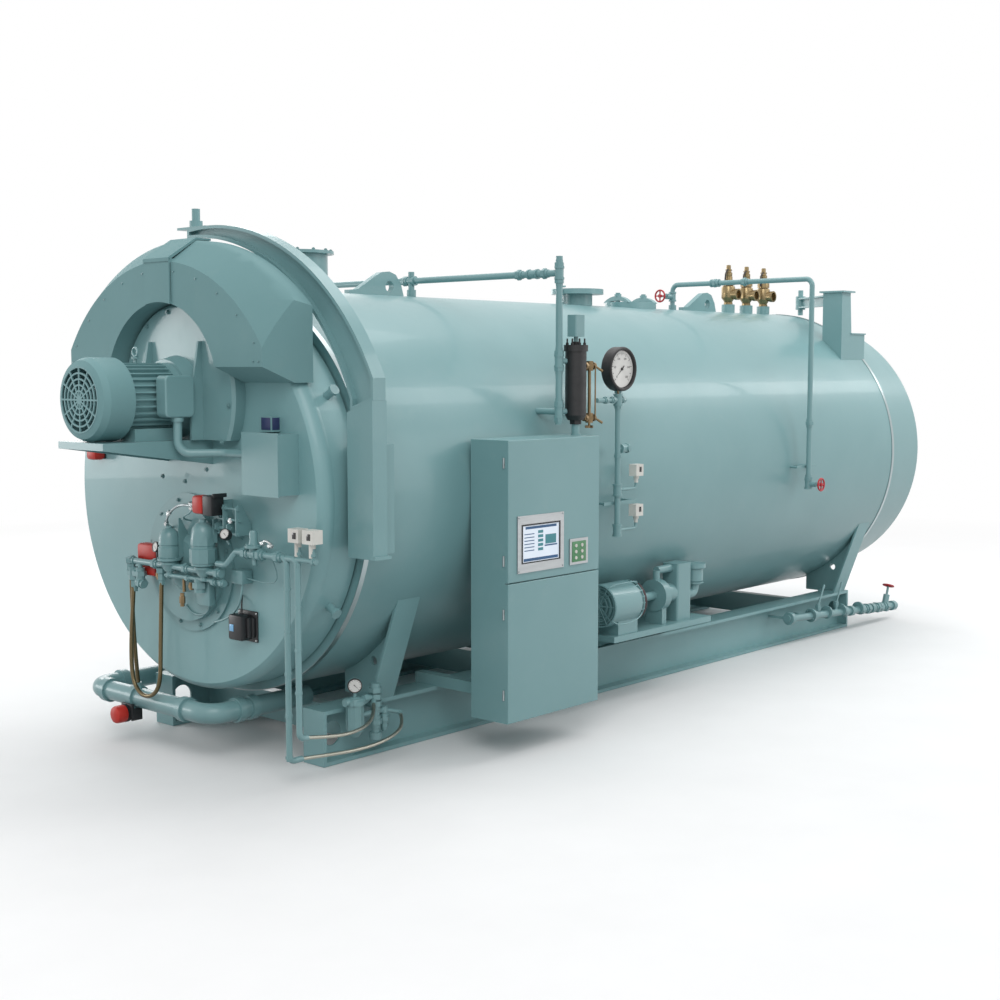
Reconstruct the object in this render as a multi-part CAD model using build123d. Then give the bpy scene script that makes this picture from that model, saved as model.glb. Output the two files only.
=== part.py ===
from build123d import *
import math
import os

# Packaged fire-tube steam boiler on its skid: burner and blower on the front door,
# control cabinet and water column on the near side (-Y), safety valves on top.
# Millimetres. X runs from the front door to the rear, Z is up. Positions along X
# are taken from the front end of the shell, and every piece is moved at the end so
# that the origin is the centre of the four anchor bolts, on the floor.

# Shell
shell_radius = 1040.0
shell_length = 5304.0
shell_wall = 80.0
shell_lift = 19.0
band_width = 30.0
band_proud = 4.0
seat_gap = 0.3

# Skid
skid_length = shell_length - 22.0
skid_width = 1408.0
rail_height = 279.0
axis_height = rail_height + shell_lift + shell_radius
shell_crest = axis_height + shell_radius
rail_width = 154.0
rail_web = 12.0
rail_flange = 20.0
web_hole_radius = 62.0
web_hole_inset = 115.0
anchor_radius = 14.0
anchor_inset = 230.0
anchor_edge = 32.0
cross_depth = 150.0
cross_width = 70.0
cross_wall = 10.0
cross_inset = 300.0
cross_count = 4

# Saddles
saddle_front_x = 322.0
saddle_rear_x = skid_length - 222.0
saddle_plate = 20.0
strap_width = 157.0
strap_wall = 16.0
saddle_top_z = axis_height - 519.0
saddle_top_y = shell_radius - 138.0
saddle_inner_y = 430.0
saddle_foot = 16.0
saddle_hole_radius = 24.0
saddle_hole = (650.0, 470.0)

# Doors
door_radius = shell_radius - 40.0
door_gap = 10.0
door_rim = 165.0
door_shoulder = 80.0
door_face_radius = door_radius - 35.0
rear_door_depth = 510.0
rear_face_radius = door_radius - 22.0
rear_dome = 45.0
lug_angle = 30.0
lug_radius = 20.0
lug_reach = 52.0
lug_x = -100.0
lug_cap_radius = 27.0
lug_cap_wall = 14.0

# Burner in the middle of the lower door
burner_z = axis_height - 348.0
burner_ring_radius = 350.0
burner_ring_wall = 14.0
burner_radius = 295.0
burner_depth = 42.0
throat_radius = 150.0
throat_depth = 68.0
valve_x = -372.0
valve_places = ((177.0, axis_height - 338.0), (-110.0, axis_height - 318.0))
valve_radius = 46.0
valve_height = 150.0
bonnet_radius = 30.0
bonnet_height = 62.0
manifold_z = axis_height - 313.0
manifold_y = (-330.0, 385.0)
manifold_radius = 26.0
gas_run_z = axis_height - 246.0
gas_run_y = -935.0
gas_run_radius = 15.0
gas_drop_x = -350.0
gas_drop_y = (-860.0, -935.0)
gas_drop_z = (130.0, 250.0)
gas_drop_reach = (78.0, 48.0)
actuator_near = ((-412.0, -330.0), (-330.0, -215.0), (axis_height - 70.0, axis_height + 10.0))
actuator_far = ((-344.6, -270.0), (295.0, 385.0), (axis_height - 353.0, axis_height - 276.0))
actuator_low = ((-344.6, -285.0), (305.0, 370.0), (axis_height - 420.0, axis_height - 353.3))
actuator_side = ((-330.0, -255.3), (740.0, 830.0), (axis_height + 137.0, axis_height + 202.0))
safeguard_y = (-527.0, -330.0)
safeguard_z = (axis_height - 698.0, axis_height - 548.0)
safeguard_depth = 100.0
safeguard_flange = 18.0

# Fan, motor and the shelf that carries it
fan_z = axis_height + 489.0
fan_radius = 456.0
fan_depth = 72.0
fan_boss_radius = 205.0
motor_z = axis_height + 482.0
motor_radius = 175.0
motor_core_radius = 156.0
motor_x = (-700.0, -400.0)
fin_count = 32
fin_width = 8.0
cowl_radius = 200.0
cowl_x = -880.0
cowl_wall = 7.0
cowl_round = 46.0
grille_rings = 5
grille_bar = 8.0
grille_spokes = 6
terminal_x = (-571.0, -403.0)
terminal_y = (-252.0, -178.0)
terminal_z = (axis_height + 395.0, axis_height + 597.0)
terminal_round = 26.0
shelf_top = axis_height + 281.0
shelf_wall = 14.0
shelf_half_width = 190.0
shelf_front_drop = 34.0
shelf_back_drop = 125.0
motor_foot = 60.0
gusset_y = 215.0
gusset_reach = 70.0
gusset_top = axis_height + 762.0
conduit_radius = 21.0
conduit_bend = 62.0
conduit_z = axis_height + 222.0
junction_x = -380.0
junction_y = (-842.0, -590.0)
junction_z = (axis_height + 42.0, axis_height + 327.0)
junction_lid = 6.0
pilot_box_y = (-715.0, -620.0)
pilot_box_z = (axis_height + 337.0, axis_height + 404.0)
switch_y = (-966.0, -894.0)
gas_run_end = -1060.0
switch_z = (axis_height - 166.0, axis_height - 102.0)
switch_depth = 62.0
switch_step = 100.0

# Air hood
hood_face_x = -424.0
hood_plate_x = -269.0
hood_plate_depth = 90.0
hood_face_radius = shell_radius - 90.0
hood_face_centre = axis_height + 201.0
hood_plate_radius = shell_radius + 222.0
hood_side_y = shell_radius - 248.0
hood_plate_y = shell_radius + 22.0
hood_face_bottom = axis_height + 637.0
hood_plate_bottom = axis_height + 564.0
hood_arch_radius = 464.5
hood_cap_half_width = 105.0
hood_cap_wall = 10.0

# Front davit
davit_x = -125.0
davit_width = 78.0
davit_radius = shell_radius + 306.0
davit_inner_radius = davit_radius - 83.5
davit_inner_centre = (119.6, axis_height + 27.3)
davit_web = 16.0
davit_flange = 16.0
davit_tip_y = 165.0
davit_lip = 84.0
davit_pin_y = 140.0
davit_pin_radius = 21.0
davit_pin_top = axis_height + 1441.0
column_y = (-davit_radius + 135.0, -shell_radius)
column_outer_top = axis_height + 485.0
column_inner_top = axis_height + 429.0
column_bottom = axis_height - 233.0
column_foot = 14.0
column_pad_x = 62.0

# Control cabinet
cabinet_x = (700.0, 1430.0)
cabinet_y = (-shell_radius - 260.0, -shell_radius - 7.0)
cabinet_z = (185.0, axis_height + 274.0)
cabinet_split = axis_height - 441.0
cabinet_groove = 5.0
cabinet_door = 22.0
bezel_x = (765.0, 1128.0)
bezel_z = (axis_height - 396.0, axis_height - 107.0)
screen_inset = (38.0, 52.0)
bezel_proud = 6.0
panel_x = (1178.0, 1328.0)
panel_z = (axis_height - 393.0, axis_height - 257.0)
arm_width = 60.0
arm_inset = 90.0

# Nozzles on top
steam_x = shell_length - 2454.0
steam_radius = 99.0
steam_bore = 88.0
steam_flange_radius = 172.0
steam_flange_wall = 33.0
steam_top = shell_crest + 102.0
steam_bolt_circle = 270.0
steam_bolts = 8
steam_bolt_radius = 10.0
vent_x = 485.0
vent_radius = 147.0
vent_bore = 138.0
vent_flange_radius = 180.0
vent_flange_wall = 16.0
vent_top = shell_crest + 212.0
vent_bolt_circle = 327.0
vent_bolts = 12
vent_bolt_radius = 6.0

# Lifting lugs
lifting_x = (819.0, shell_length - 1267.0)
lifting_length = 420.0
lifting_wall = 40.0
lifting_eye_z = shell_crest + 52.0
lifting_eye_inset = 112.0
lifting_eye_radius = 32.0
lifting_nose = 84.0

# Manway with two yokes
manway_x = shell_length - 1869.0
manway_half_length = 205.0
manway_half_width = 155.0
manway_rise = 34.0
yoke_spacing = 290.0
yoke_half_span = 108.0
yoke_rise = 74.0
yoke_bar = 30.0
yoke_width = 40.0
yoke_bolt_radius = 16.0
yoke_bolt_rise = 97.0

# Safety valves
safety_x = (shell_length - 654.0, shell_length - 406.0, shell_length - 163.0)
coupling_radius = 49.0
coupling_top = shell_crest + 60.0
safety_radius = 36.0
safety_cap_z = shell_crest + 353.0
safety_outlet_z = shell_crest + 132.0
safety_outlet_radius = 42.0
safety_outlet_reach = 92.0

# Pipework on top and down the near side
equal_x = 1320.0
equal_z = shell_crest + 91.0
equal_y = shell_radius + 70.0
equal_radius = 18.0
equal_top = shell_crest + 179.0
equal_mid_z = axis_height + 668.0
equal_low_z = axis_height + 400.0
tee_radius = 27.0
tee_half = 34.0
column_x = 1413.0
column_centre_y = -shell_radius - 110.0
column_radius = 57.0
column_z = (axis_height + 353.0, axis_height + 753.0)
column_pipe_radius = 20.0
probe_z = (axis_height + 797.0, axis_height + 912.0)
probe_half = 39.0
glass_x = 1530.0
glass_z = (axis_height + 362.0, axis_height + 662.0)
glass_radius = 9.0
gauge_x = 1800.0
gauge_y = -shell_radius - 100.0
gauge_z = axis_height + 625.0
gauge_radius = 122.0
dial_radius = 104.0
gauge_depth = 65.0
header_pipe_z = (axis_height - 272.0, axis_height + 454.0)
header_pipe_radius = 16.0
cock_z = axis_height + 182.0
pressure_switch_x = 1975.0
pressure_switch_z = (axis_height + 55.0, axis_height - 172.0)
pressure_switch_size = (70.0, 55.0, 66.0)
strap_x = (1700.0, 2010.0)
strap_z = axis_height - 123.0
vent_line_x = shell_length - 1374.0
vent_line_z = shell_crest + 175.0
vent_line_y = -shell_radius - 80.0
vent_line_radius = 17.0
vent_line_bottom = axis_height - 143.0
vent_line_union_y = -360.0
vent_line_bend = 46.0
vent_strap_x = (vent_line_x - 120.0, vent_line_x + 130.0)
vent_strap_z = axis_height - 28.0
vent_valve_x = vent_line_x - 152.0
vent_valve_z = shell_crest + 93.0
wheel_radius = 40.0
wheel_rim = 6.0
wheel_reach = 62.0

# Rear davit
post_x = (shell_length - 349.0, shell_length - 200.0)
post_y = (-shell_radius + 259.0, -shell_radius + 415.0)
post_top = shell_crest + 149.0
post_foot_x = shell_length
post_foot_top = axis_height + 874.0
post_cap = 12.0
rear_arm_end = (shell_length + 256.0, -84.0)
rear_arm_via = (shell_length + 96.0, -330.0)
rear_arm_z = (shell_crest + 57.0, shell_crest + 137.0)
rear_arm_width = 62.0
rear_arm_flange = 12.0
rear_pin_radius = 20.0
rear_pin_z = (shell_crest + 2.0, shell_crest + 197.0)
rear_hub_radius = 38.0

# Pump set on its shelf
pump_shelf_x = (1900.0, 2890.0)
pump_shelf_y = (-1050.0, -580.0)
pump_shelf_wall = 12.0
pump_shelf_z = (395.0, 430.0)
pump_y = -950.0
pump_z = 602.0
pump_motor_x = (1885.0, 2170.0)
pump_motor_radius = 122.0
pump_motor_core = 108.0
pump_fins = 20
guard_length = 42.0
pump_foot = 34.0
pump_block_x = (2584.0, 2728.0)
pump_block_z = 780.0
pump_block_half = 60.0
pump_cup_x = 2844.0
pump_cup_z = (620.0, 756.0)
pump_cup_radius = 63.0

# Gas header across the front of the skid
header_x = -330.0
header_z = 245.0
header_radius = 52.0
header_y = (-230.0, 790.0)
header_bend = 95.0
header_end_x = 120.0
hanger_x = 60.0
collar_radius = 64.0
collar_length = 42.0
header_actuator_y = 395.0
header_actuator_z = 172.0
header_actuator_x = (-478.0, -395.0)
header_actuator_radius = 46.0

# Filter and regulator beside the near rail
regulator_x = 155.0
regulator_y = -skid_width / 2 - 58.0
regulator_z = (138.0, 340.0)
regulator_radius = 42.0
regulator_valve_x = 295.0
regulator_valve_z = (100.0, 372.0)
regulator_valve_radius = 21.0
regulator_dial_z = 398.0
regulator_dial_radius = 36.0
regulator_line_z = 240.0

# Blowdown line beside the near rail
blowdown_y = -skid_width / 2 - 96.0
blowdown_start = (skid_length - 1052.0, 205.0)
blowdown_end = (skid_length + 586.0, 102.0)
blowdown_radius = 26.0
blowdown_clamps = (skid_length - 1016.0, skid_length - 709.0)
blowdown_valve_x = skid_length + 408.0
blowdown_wheel = (skid_length + 463.0, 262.0)

# Braided hoses: the points stay as chosen
bronze_radius = 11.0
bright_radius = 9.0
supply_hose_points = (
    (-372.0, 362.0, 962.0),
    (-381.0, 352.0, 640.0),
    (-345.0, 364.0, 330.0),
)
loop_hose_points = (
    (-376.0, 90.0, 930.0),
    (-388.0, 84.0, 750.0),
    (-399.0, 79.0, 560.0),
    (-402.0, 84.0, 365.0),
    (-404.0, 157.0, 292.0),
    (-404.0, 260.0, 290.0),
    (-402.0, 333.0, 365.0),
    (-399.0, 339.0, 560.0),
    (-388.0, 331.0, 750.0),
    (-376.0, 329.0, 930.0),
)
upper_hose_points = (
    (-300.0, -935.0, 250.0),
    (-165.0, -943.0, 229.0),
    (-25.0, -938.0, 219.0),
    (105.0, -908.0, 229.0),
    (200.0, -852.0, 256.0),
    (252.0, -795.0, 290.0),
)
lower_hose_points = (
    (-270.0, -860.0, 130.0),
    (-135.0, -872.0, 121.0),
    (8.0, -899.0, 117.0),
    (150.0, -914.0, 123.0),
    (280.0, -906.0, 141.0),
    (385.0, -870.0, 170.0),
    (437.0, -800.0, 204.0),
)

# Derived
door_face_x = -door_gap - door_rim - door_shoulder
rail_outer = skid_width / 2
rail_inner = rail_outer - rail_width
rail_web_y = rail_outer - rail_width / 2
rail_web_face = rail_web_y + rail_web / 2 + seat_gap


def block(x, y, z):
    """Box between two limits on each axis."""
    size = [high - low for low, high in (x, y, z)]
    centre = [(high + low) / 2 for low, high in (x, y, z)]
    return Pos(*centre) * Box(*size)


def rod(start, end, radius):
    """Round bar from one point to another."""
    run = Vector(*end) - Vector(*start)
    return extrude(Plane(origin=start, z_dir=run) * Circle(radius), run.length)


def pipe(points, radius, bend):
    """Bent pipe with a bend radius at each corner."""
    path = FilletPolyline(*points, radius=bend)
    return sweep(Plane(origin=path @ 0, z_dir=path % 0) * Circle(radius), path=path)


def turned(profile, height=axis_height):
    """Solid turned about a level axis from (x, radius) points."""
    face = make_face(Polyline(*profile, close=True))
    return Pos(0, 0, height) * revolve(face, Axis.X)


def upright(centre, profile):
    """Solid turned about an upright axis from (radius, z) points."""
    wire = Polyline(*[(radius, 0, z) for radius, z in profile], close=True)
    return Pos(centre[0], centre[1], 0) * revolve(make_face(wire), Axis.Z)


def plate_yz(points, x, thickness):
    """Plate across the boiler from (y, z) points."""
    return extrude(Plane.YZ.offset(x) * make_face(Polyline(*points, close=True)), thickness)


def plate_xz(points, y, thickness):
    """Plate along the boiler from (x, z) points, growing towards +Y."""
    wire = Polyline(*[(px, y, pz) for px, pz in points], close=True)
    return extrude(make_face(wire), thickness, dir=(0, 1, 0))


def shell_side(z):
    """Half-width of the shell's outside at a height."""
    return math.sqrt(shell_radius**2 - (z - axis_height) ** 2)


def shell_top(y):
    """Height of the shell's outside at a distance from its centre plane."""
    return axis_height + math.sqrt(shell_radius**2 - y**2)


def drum(radius, start, end):
    """Full cylinder on the shell axis."""
    return rod((start, 0, axis_height), (end, 0, axis_height), radius)


def off_shell(solid):
    """Piece with its foot cut to the round of the shell."""
    return solid - drum(shell_radius + seat_gap, -seat_gap, shell_length + seat_gap)


def tee(centre, along):
    """Malleable fitting: a short barrel with two rims, along a unit direction."""
    unit = Vector(*along)
    middle = Vector(*centre)
    barrel = rod(middle - unit * tee_half, middle + unit * tee_half, tee_radius - 4)
    rim = tee_half / 3
    first = rod(middle - unit * tee_half, middle - unit * (tee_half - rim), tee_radius)
    last = rod(middle + unit * (tee_half - rim), middle + unit * tee_half, tee_radius)
    return barrel + first + last


def handwheel(centre, along):
    """Rim, two crossed spokes and a hub, on a stem that points along a direction."""
    seat = Plane(origin=centre, z_dir=along)
    rim = seat * Torus(wheel_radius, wheel_rim)
    hub = seat * Cylinder(wheel_rim * 2, wheel_rim * 3)
    spoke = Box(wheel_radius * 2, wheel_rim * 1.4, wheel_rim)
    return rim + hub + seat * spoke + seat * Rot(0, 0, 90) * spoke


def hose_end(points, radius, reach):
    """Ferrule at the first point of a hose, in line with it."""
    start = Vector(*points[0])
    back = (start - Vector(*points[1])).normalized()
    return rod(start + back * seat_gap, start + back * reach, radius * 1.6)


def shell_jacket():
    """Lagged shell, open at both ends where the doors close it."""
    bore = shell_radius - shell_wall
    return turned([(0, bore), (0, shell_radius), (shell_length, shell_radius), (shell_length, bore)])


def end_bands():
    """Bright bands round both ends of the lagging."""
    inner = shell_radius + seat_gap
    outer = inner + band_proud
    front = turned([(0, inner), (0, outer), (band_width, outer), (band_width, inner)])
    start = shell_length - band_width
    rear = turned([(start, inner), (start, outer), (shell_length, outer), (shell_length, inner)])
    return front + rear


def front_door(grow=0.0):
    """Round front door: plain rim, rolled shoulder and flat face."""
    rim = door_radius + grow
    face_x = door_face_x - grow
    rim_end = -door_gap - door_rim
    spigot = shell_radius - shell_wall - seat_gap
    outline = Polyline((0, 0), (0, spigot), (-door_gap, spigot), (-door_gap, rim), (rim_end, rim))
    shoulder = ThreePointArc(
        (rim_end, rim),
        (rim_end - door_shoulder * 0.71, rim - (door_radius - door_face_radius) * 0.29),
        (face_x, door_face_radius + grow),
    )
    closing = Polyline((face_x, door_face_radius + grow), (face_x, 0), (0, 0))
    return Pos(0, 0, axis_height) * revolve(make_face(outline + shoulder + closing), Axis.X)


def rear_door():
    """Round rear door with a slightly tapered rim and a low dome."""
    start = shell_length + door_gap
    end = start + rear_door_depth
    spigot = shell_radius - shell_wall - seat_gap
    rim = [(shell_length, 0), (shell_length, spigot), (start, spigot), (start, door_radius)]
    body = turned(rim + [(end, rear_face_radius), (end, 0)])
    sphere_radius = (rear_face_radius**2 + rear_dome**2) / (2 * rear_dome)
    ball = Pos(end + rear_dome - sphere_radius, 0, axis_height) * Sphere(sphere_radius)
    cap = ball & drum(rear_face_radius, end - seat_gap, end + 2 * rear_dome)
    return body + cap


def door_lugs():
    """Four jacking lugs on the rim of the front door."""
    lugs = []
    for side in (-1, 1):
        for level in (-1, 1):
            turn = math.radians(lug_angle) * level
            out = (0, side * math.cos(turn), math.sin(turn))
            foot = Vector(lug_x, 0, axis_height) + Vector(*out) * (door_radius + seat_gap)
            head = foot + Vector(*out) * lug_reach
            lugs.append(rod(foot, head, lug_radius))
            lugs.append(rod(head, head + Vector(*out) * lug_cap_wall, lug_cap_radius))
    return Part() + lugs


def skid_rail(side):
    """I-beam rail with closed ends, lightening holes and anchor holes."""
    y0 = rail_web_y * side
    half = rail_width / 2
    low = block((0, skid_length), (y0 - half, y0 + half), (0, rail_flange))
    high = Pos(0, 0, rail_height - rail_flange) * low
    web_half = rail_web / 2
    web = block((0, skid_length), (y0 - web_half, y0 + web_half), (0, rail_height))
    front = block((0, rail_flange), (y0 - half, y0 + half), (0, rail_height))
    rail = low + high + web + front + Pos(skid_length - rail_flange, 0, 0) * front
    middle = rail_height / 2
    anchor_y = (rail_outer - anchor_edge) * side
    for x in (web_hole_inset, skid_length - web_hole_inset):
        rail -= rod((x, y0 - half, middle), (x, y0 + half, middle), web_hole_radius)
    for x in (anchor_inset, skid_length - anchor_inset):
        rail -= rod((x, anchor_y, 0), (x, anchor_y, rail_flange), anchor_radius)
    return rail


def cross_members():
    """Channels between the rail webs."""
    bottom = (rail_height - cross_depth) / 2
    top = bottom + cross_depth
    reach = rail_web_y - rail_web / 2 - seat_gap
    step = (skid_length - 2 * cross_inset) / (cross_count - 1)
    profile = [(0, bottom), (cross_width, bottom), (cross_width, bottom + cross_wall)]
    profile += [(cross_wall, bottom + cross_wall), (cross_wall, top - cross_wall)]
    profile += [(cross_width, top - cross_wall), (cross_width, top), (0, top)]
    channel = plate_xz(profile, -reach, 2 * reach)
    return Part() + [Pos(cross_inset + step * index, 0, 0) * channel for index in range(cross_count)]


def saddle(x):
    """Pair of saddle plates with slanted straps from the shell to the rails."""
    base = rail_height + seat_gap
    foot_top = base + saddle_foot
    saddle_halves = []
    for side in (-1, 1):
        outer = side * rail_outer
        inner = side * saddle_inner_y
        crown = side * saddle_top_y
        crest = axis_height
        web_x = x + (strap_width - saddle_plate) / 2
        web = plate_yz(
            [(outer, base), (crown, saddle_top_z), (inner, crest), (inner, base)], web_x, saddle_plate
        )
        thick = side * strap_wall
        strap = plate_yz(
            [(outer, base), (crown, saddle_top_z), (crown - thick, saddle_top_z), (outer - thick, base)],
            x,
            strap_width,
        )
        foot_y = sorted((side * (rail_inner + rail_flange), outer))
        foot = block((x, x + strap_width), foot_y, (base, foot_top))
        hole_y = side * saddle_hole[0]
        eye = rod((x, hole_y, saddle_hole[1]), (x + strap_width, hole_y, saddle_hole[1]), saddle_hole_radius)
        saddle_halves.append(off_shell(web + strap + foot - eye))
    return Part() + saddle_halves


def burner_plate():
    """Round burner mounting with its ring flange and the throat boss."""
    ring_x = door_face_x - seat_gap
    plate_x = ring_x - burner_ring_wall
    face_x = ring_x - burner_depth
    boss_x = ring_x - throat_depth
    profile = [(ring_x, 0), (ring_x, burner_ring_radius), (plate_x, burner_ring_radius)]
    profile += [(plate_x, burner_radius), (face_x, burner_radius), (face_x, throat_radius)]
    profile += [(boss_x, throat_radius * 0.8), (boss_x, 0)]
    return turned(profile, burner_z)


def burner_valves():
    """Two valve bodies on a common manifold in front of the burner."""
    boss_x = door_face_x - 2 * seat_gap - throat_depth
    manifold = rod((valve_x, manifold_y[0], manifold_z), (valve_x, manifold_y[1], manifold_z), manifold_radius)
    solid = manifold
    for y, z in valve_places:
        top = z + valve_height
        profile = [(0, z - 40), (valve_radius * 0.7, z - 40), (valve_radius, z - 10)]
        profile += [(valve_radius, z + 60), (bonnet_radius, z + 84), (bonnet_radius, top)]
        profile += [(bonnet_radius * 1.3, top), (bonnet_radius * 1.3, top + 14)]
        profile += [(bonnet_radius * 0.8, top + bonnet_height), (0, top + bonnet_height)]
        solid += upright((valve_x, y), profile)
        port_y = math.copysign(throat_radius * 0.55, y)
        solid += rod((valve_x, port_y, manifold_z), (boss_x, port_y, manifold_z), manifold_radius * 0.8)
    for y in manifold_y:
        solid += tee((valve_x, y, manifold_z), (0, 1, 0))
    solid += hose_end(supply_hose_points, bronze_radius, manifold_z - supply_hose_points[0][2] - 20)
    for points in (loop_hose_points, loop_hose_points[::-1]):
        solid += hose_end(points, bronze_radius, manifold_z - points[0][2] - 10)
    middle = sum(manifold_y) / 2
    return solid + tee((valve_x, middle, manifold_z), (0, 1, 0))


def burner_linkage():
    """Damper lever, quadrant brackets and the two tie rods."""
    face = door_face_x - seat_gap
    bar_x = valve_x + 20
    shaft_z = gas_run_z + 103
    brackets = []
    for y in (-330.0, -420.0):
        wedge = [(face, shaft_z + 65), (bar_x, shaft_z + 20), (bar_x, shaft_z - 5), (face, shaft_z - 63)]
        brackets.append(plate_xz(wedge, y, 8))
    shaft = rod((bar_x + 30, -425, shaft_z), (bar_x + 30, -310, shaft_z), 9)
    lever = plate_xz(
        [(bar_x, shaft_z + 40), (bar_x + 24, shaft_z + 40), (bar_x + 24, shaft_z - 75), (bar_x, shaft_z - 75)],
        -312,
        8,
    )
    motor_y = sum(actuator_near[1]) / 2
    motor_z = sum(actuator_near[2]) / 2
    stay = rod((face, motor_y, motor_z), (actuator_near[0][1] + seat_gap, motor_y, motor_z), 14)
    return Part() + brackets + shaft + lever + stay


def red_actuator(limits):
    """Motor cap with rounded corners and a stub to its valve."""
    x, y, z = limits
    cap = block(x, y, z)
    edges = cap.edges().filter_by(Axis.Z)
    return fillet(edges, (y[1] - y[0]) * 0.2)


def burner_actuators():
    """Caps of the damper motor and the valve motors."""
    caps = [red_actuator(actuator_near), red_actuator(actuator_far)]
    caps += [red_actuator(actuator_low), red_actuator(actuator_side)]
    return Part() + caps


def burner_pipework():
    """Fuel lines from the manifold to the near side and down to the hoses."""
    inner = manifold_y[0] - tee_half - seat_gap
    solid = pipe(
        (
            (valve_x, inner, manifold_z),
            (valve_x, inner - 70, manifold_z),
            (gas_drop_x, inner - 120, gas_run_z),
            (gas_drop_x, gas_drop_y[0] + 1, gas_run_z),
        ),
        gas_run_radius,
        24,
    )
    for y, bottom, reach in zip(gas_drop_y, gas_drop_z, gas_drop_reach):
        solid += pipe(
            (
                (gas_drop_x, y + 75, gas_run_z),
                (gas_drop_x, y, gas_run_z),
                (gas_drop_x, y, bottom),
                (gas_drop_x + reach, y, bottom),
            ),
            gas_run_radius,
            32,
        )
    solid += tee((gas_drop_x, (inner + gas_drop_y[0]) / 2, gas_run_z), (0, 1, 0))
    solid += rod((gas_drop_x, gas_drop_y[1] + 75, gas_run_z), (gas_drop_x, gas_run_end, gas_run_z), gas_run_radius)
    face = door_face_x - seat_gap
    return solid + rod((face, inner - 200, gas_run_z), (gas_drop_x, inner - 200, gas_run_z), gas_run_radius)


def flame_safeguard_box():
    """Black control module on its flanged base."""
    back = door_face_x - seat_gap
    base_y = (safeguard_y[0] - safeguard_flange, safeguard_y[1] + safeguard_flange)
    base_z = (safeguard_z[0] - safeguard_flange, safeguard_z[1] + safeguard_flange)
    base = block((back - 6, back), base_y, base_z)
    case = block((back - safeguard_depth, back - 6), safeguard_y, safeguard_z)
    return base + fillet(case.edges().group_by(Axis.X)[0], 12)


def air_hood():
    """Arched air inlet: face plate, flared cone and back plate, cut clear of the door."""

    def outline(x, half, bottom, radius, centre):
        shoulder = centre + math.sqrt(radius**2 - half**2)
        straight = Polyline((x, -half, shoulder), (x, -half, bottom), (x, half, bottom), (x, half, shoulder))
        crown = ThreePointArc((x, half, shoulder), (x, 0, centre + radius), (x, -half, shoulder))
        return make_face(straight + crown)

    face = outline(hood_face_x, hood_side_y, hood_face_bottom, hood_face_radius, hood_face_centre)
    plate = outline(hood_plate_x, hood_plate_y, hood_plate_bottom, hood_plate_radius, axis_height)
    flare = loft([face, plate], ruled=True)
    back = extrude(plate, hood_plate_depth, dir=(1, 0, 0))
    cap_z = (hood_plate_bottom, hood_face_centre + hood_face_radius + hood_cap_wall)
    cap_y = (-hood_cap_half_width, hood_cap_half_width)
    cap = block((hood_face_x - hood_cap_wall, hood_face_x + 30), cap_y, cap_z)
    arch_end = hood_face_x - 2 * hood_cap_wall
    arch = rod((arch_end, 0, fan_z), (0, 0, fan_z), hood_arch_radius)
    return flare + back + cap - arch - front_door(seat_gap)


def fan_housing():
    """Round fan casing on the door with its boss behind the motor and two gussets."""
    back = door_face_x - seat_gap
    front = back - fan_depth
    boss = motor_x[1] + seat_gap
    profile = [(back, 0), (back, fan_radius), (front + 14, fan_radius), (front, fan_radius - 14)]
    profile += [(front, fan_boss_radius), (boss, fan_boss_radius * 0.9), (boss, 0)]
    casing = turned(profile, fan_z)
    wing = front - gusset_reach
    shape = [(front + 2, gusset_top), (front - 20, gusset_top), (wing, motor_z), (wing, shelf_top)]
    shape += [(front + 2, shelf_top)]
    for y in (-gusset_y, gusset_y - shelf_wall):
        casing += plate_xz(shape, y, shelf_wall)
    below = block((cowl_x, back + 1), (-fan_radius, fan_radius), (fan_z - fan_radius, shelf_top + seat_gap))
    return casing - below


def motor_body():
    """Finned stator frame with lengthwise fins."""
    section = Circle(motor_core_radius)
    fin = Pos(motor_core_radius - 4, 0) * Rectangle((motor_radius - motor_core_radius + 4) * 2, fin_width)
    fin &= Circle(motor_radius)
    fin -= Circle(motor_core_radius - 8)
    section += [Rot(0, 0, 360 * index / fin_count) * fin for index in range(fin_count)]
    frame = extrude(Plane.YZ.offset(motor_x[0]) * section, motor_x[1] - motor_x[0])
    frame = Pos(0, 0, motor_z) * frame
    ring = turned(
        [(motor_x[1] - 40, 0), (motor_x[1] - 40, motor_radius), (motor_x[1], motor_radius), (motor_x[1], 0)],
        motor_z,
    )
    feet = block(
        (motor_x[0] + 30, motor_x[1] - 40),
        (-motor_radius * 0.8, motor_radius * 0.8),
        (shelf_top + seat_gap, shelf_top + motor_foot),
    )
    return frame + ring + (feet - rod((cowl_x, 0, motor_z), (0, 0, motor_z), motor_core_radius - 10))


def motor_cowl():
    """Fan cowl: open shell with a round grille of rings and spokes."""
    back = motor_x[0] - seat_gap
    inner = cowl_radius - cowl_wall
    lip = cowl_radius - cowl_round
    outer_skin = [(back, motor_core_radius), (back, cowl_radius), (cowl_x + cowl_round, cowl_radius)]
    outer_skin += [(cowl_x + cowl_round * 0.3, cowl_radius - cowl_round * 0.3), (cowl_x, lip)]
    inner_skin = [(cowl_x + cowl_wall, lip), (cowl_x + cowl_round, inner)]
    inner_skin += [(back - cowl_wall, inner), (back - cowl_wall, motor_core_radius)]
    shell = turned(outer_skin + inner_skin, motor_z)
    pitch = lip / (grille_rings + 0.5)
    section = Circle(pitch * 0.75)
    for index in range(1, grille_rings + 1):
        outer = pitch * (index + 0.5) + grille_bar / 2
        section += Circle(outer) - Circle(outer - grille_bar)
    spoke = Rectangle(2 * lip + 2, grille_bar)
    section += [Rot(0, 0, 180 * index / grille_spokes) * spoke for index in range(grille_spokes)]
    grille = Pos(0, 0, motor_z) * extrude(Plane.YZ.offset(cowl_x) * section, cowl_wall)
    return shell + grille


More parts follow.
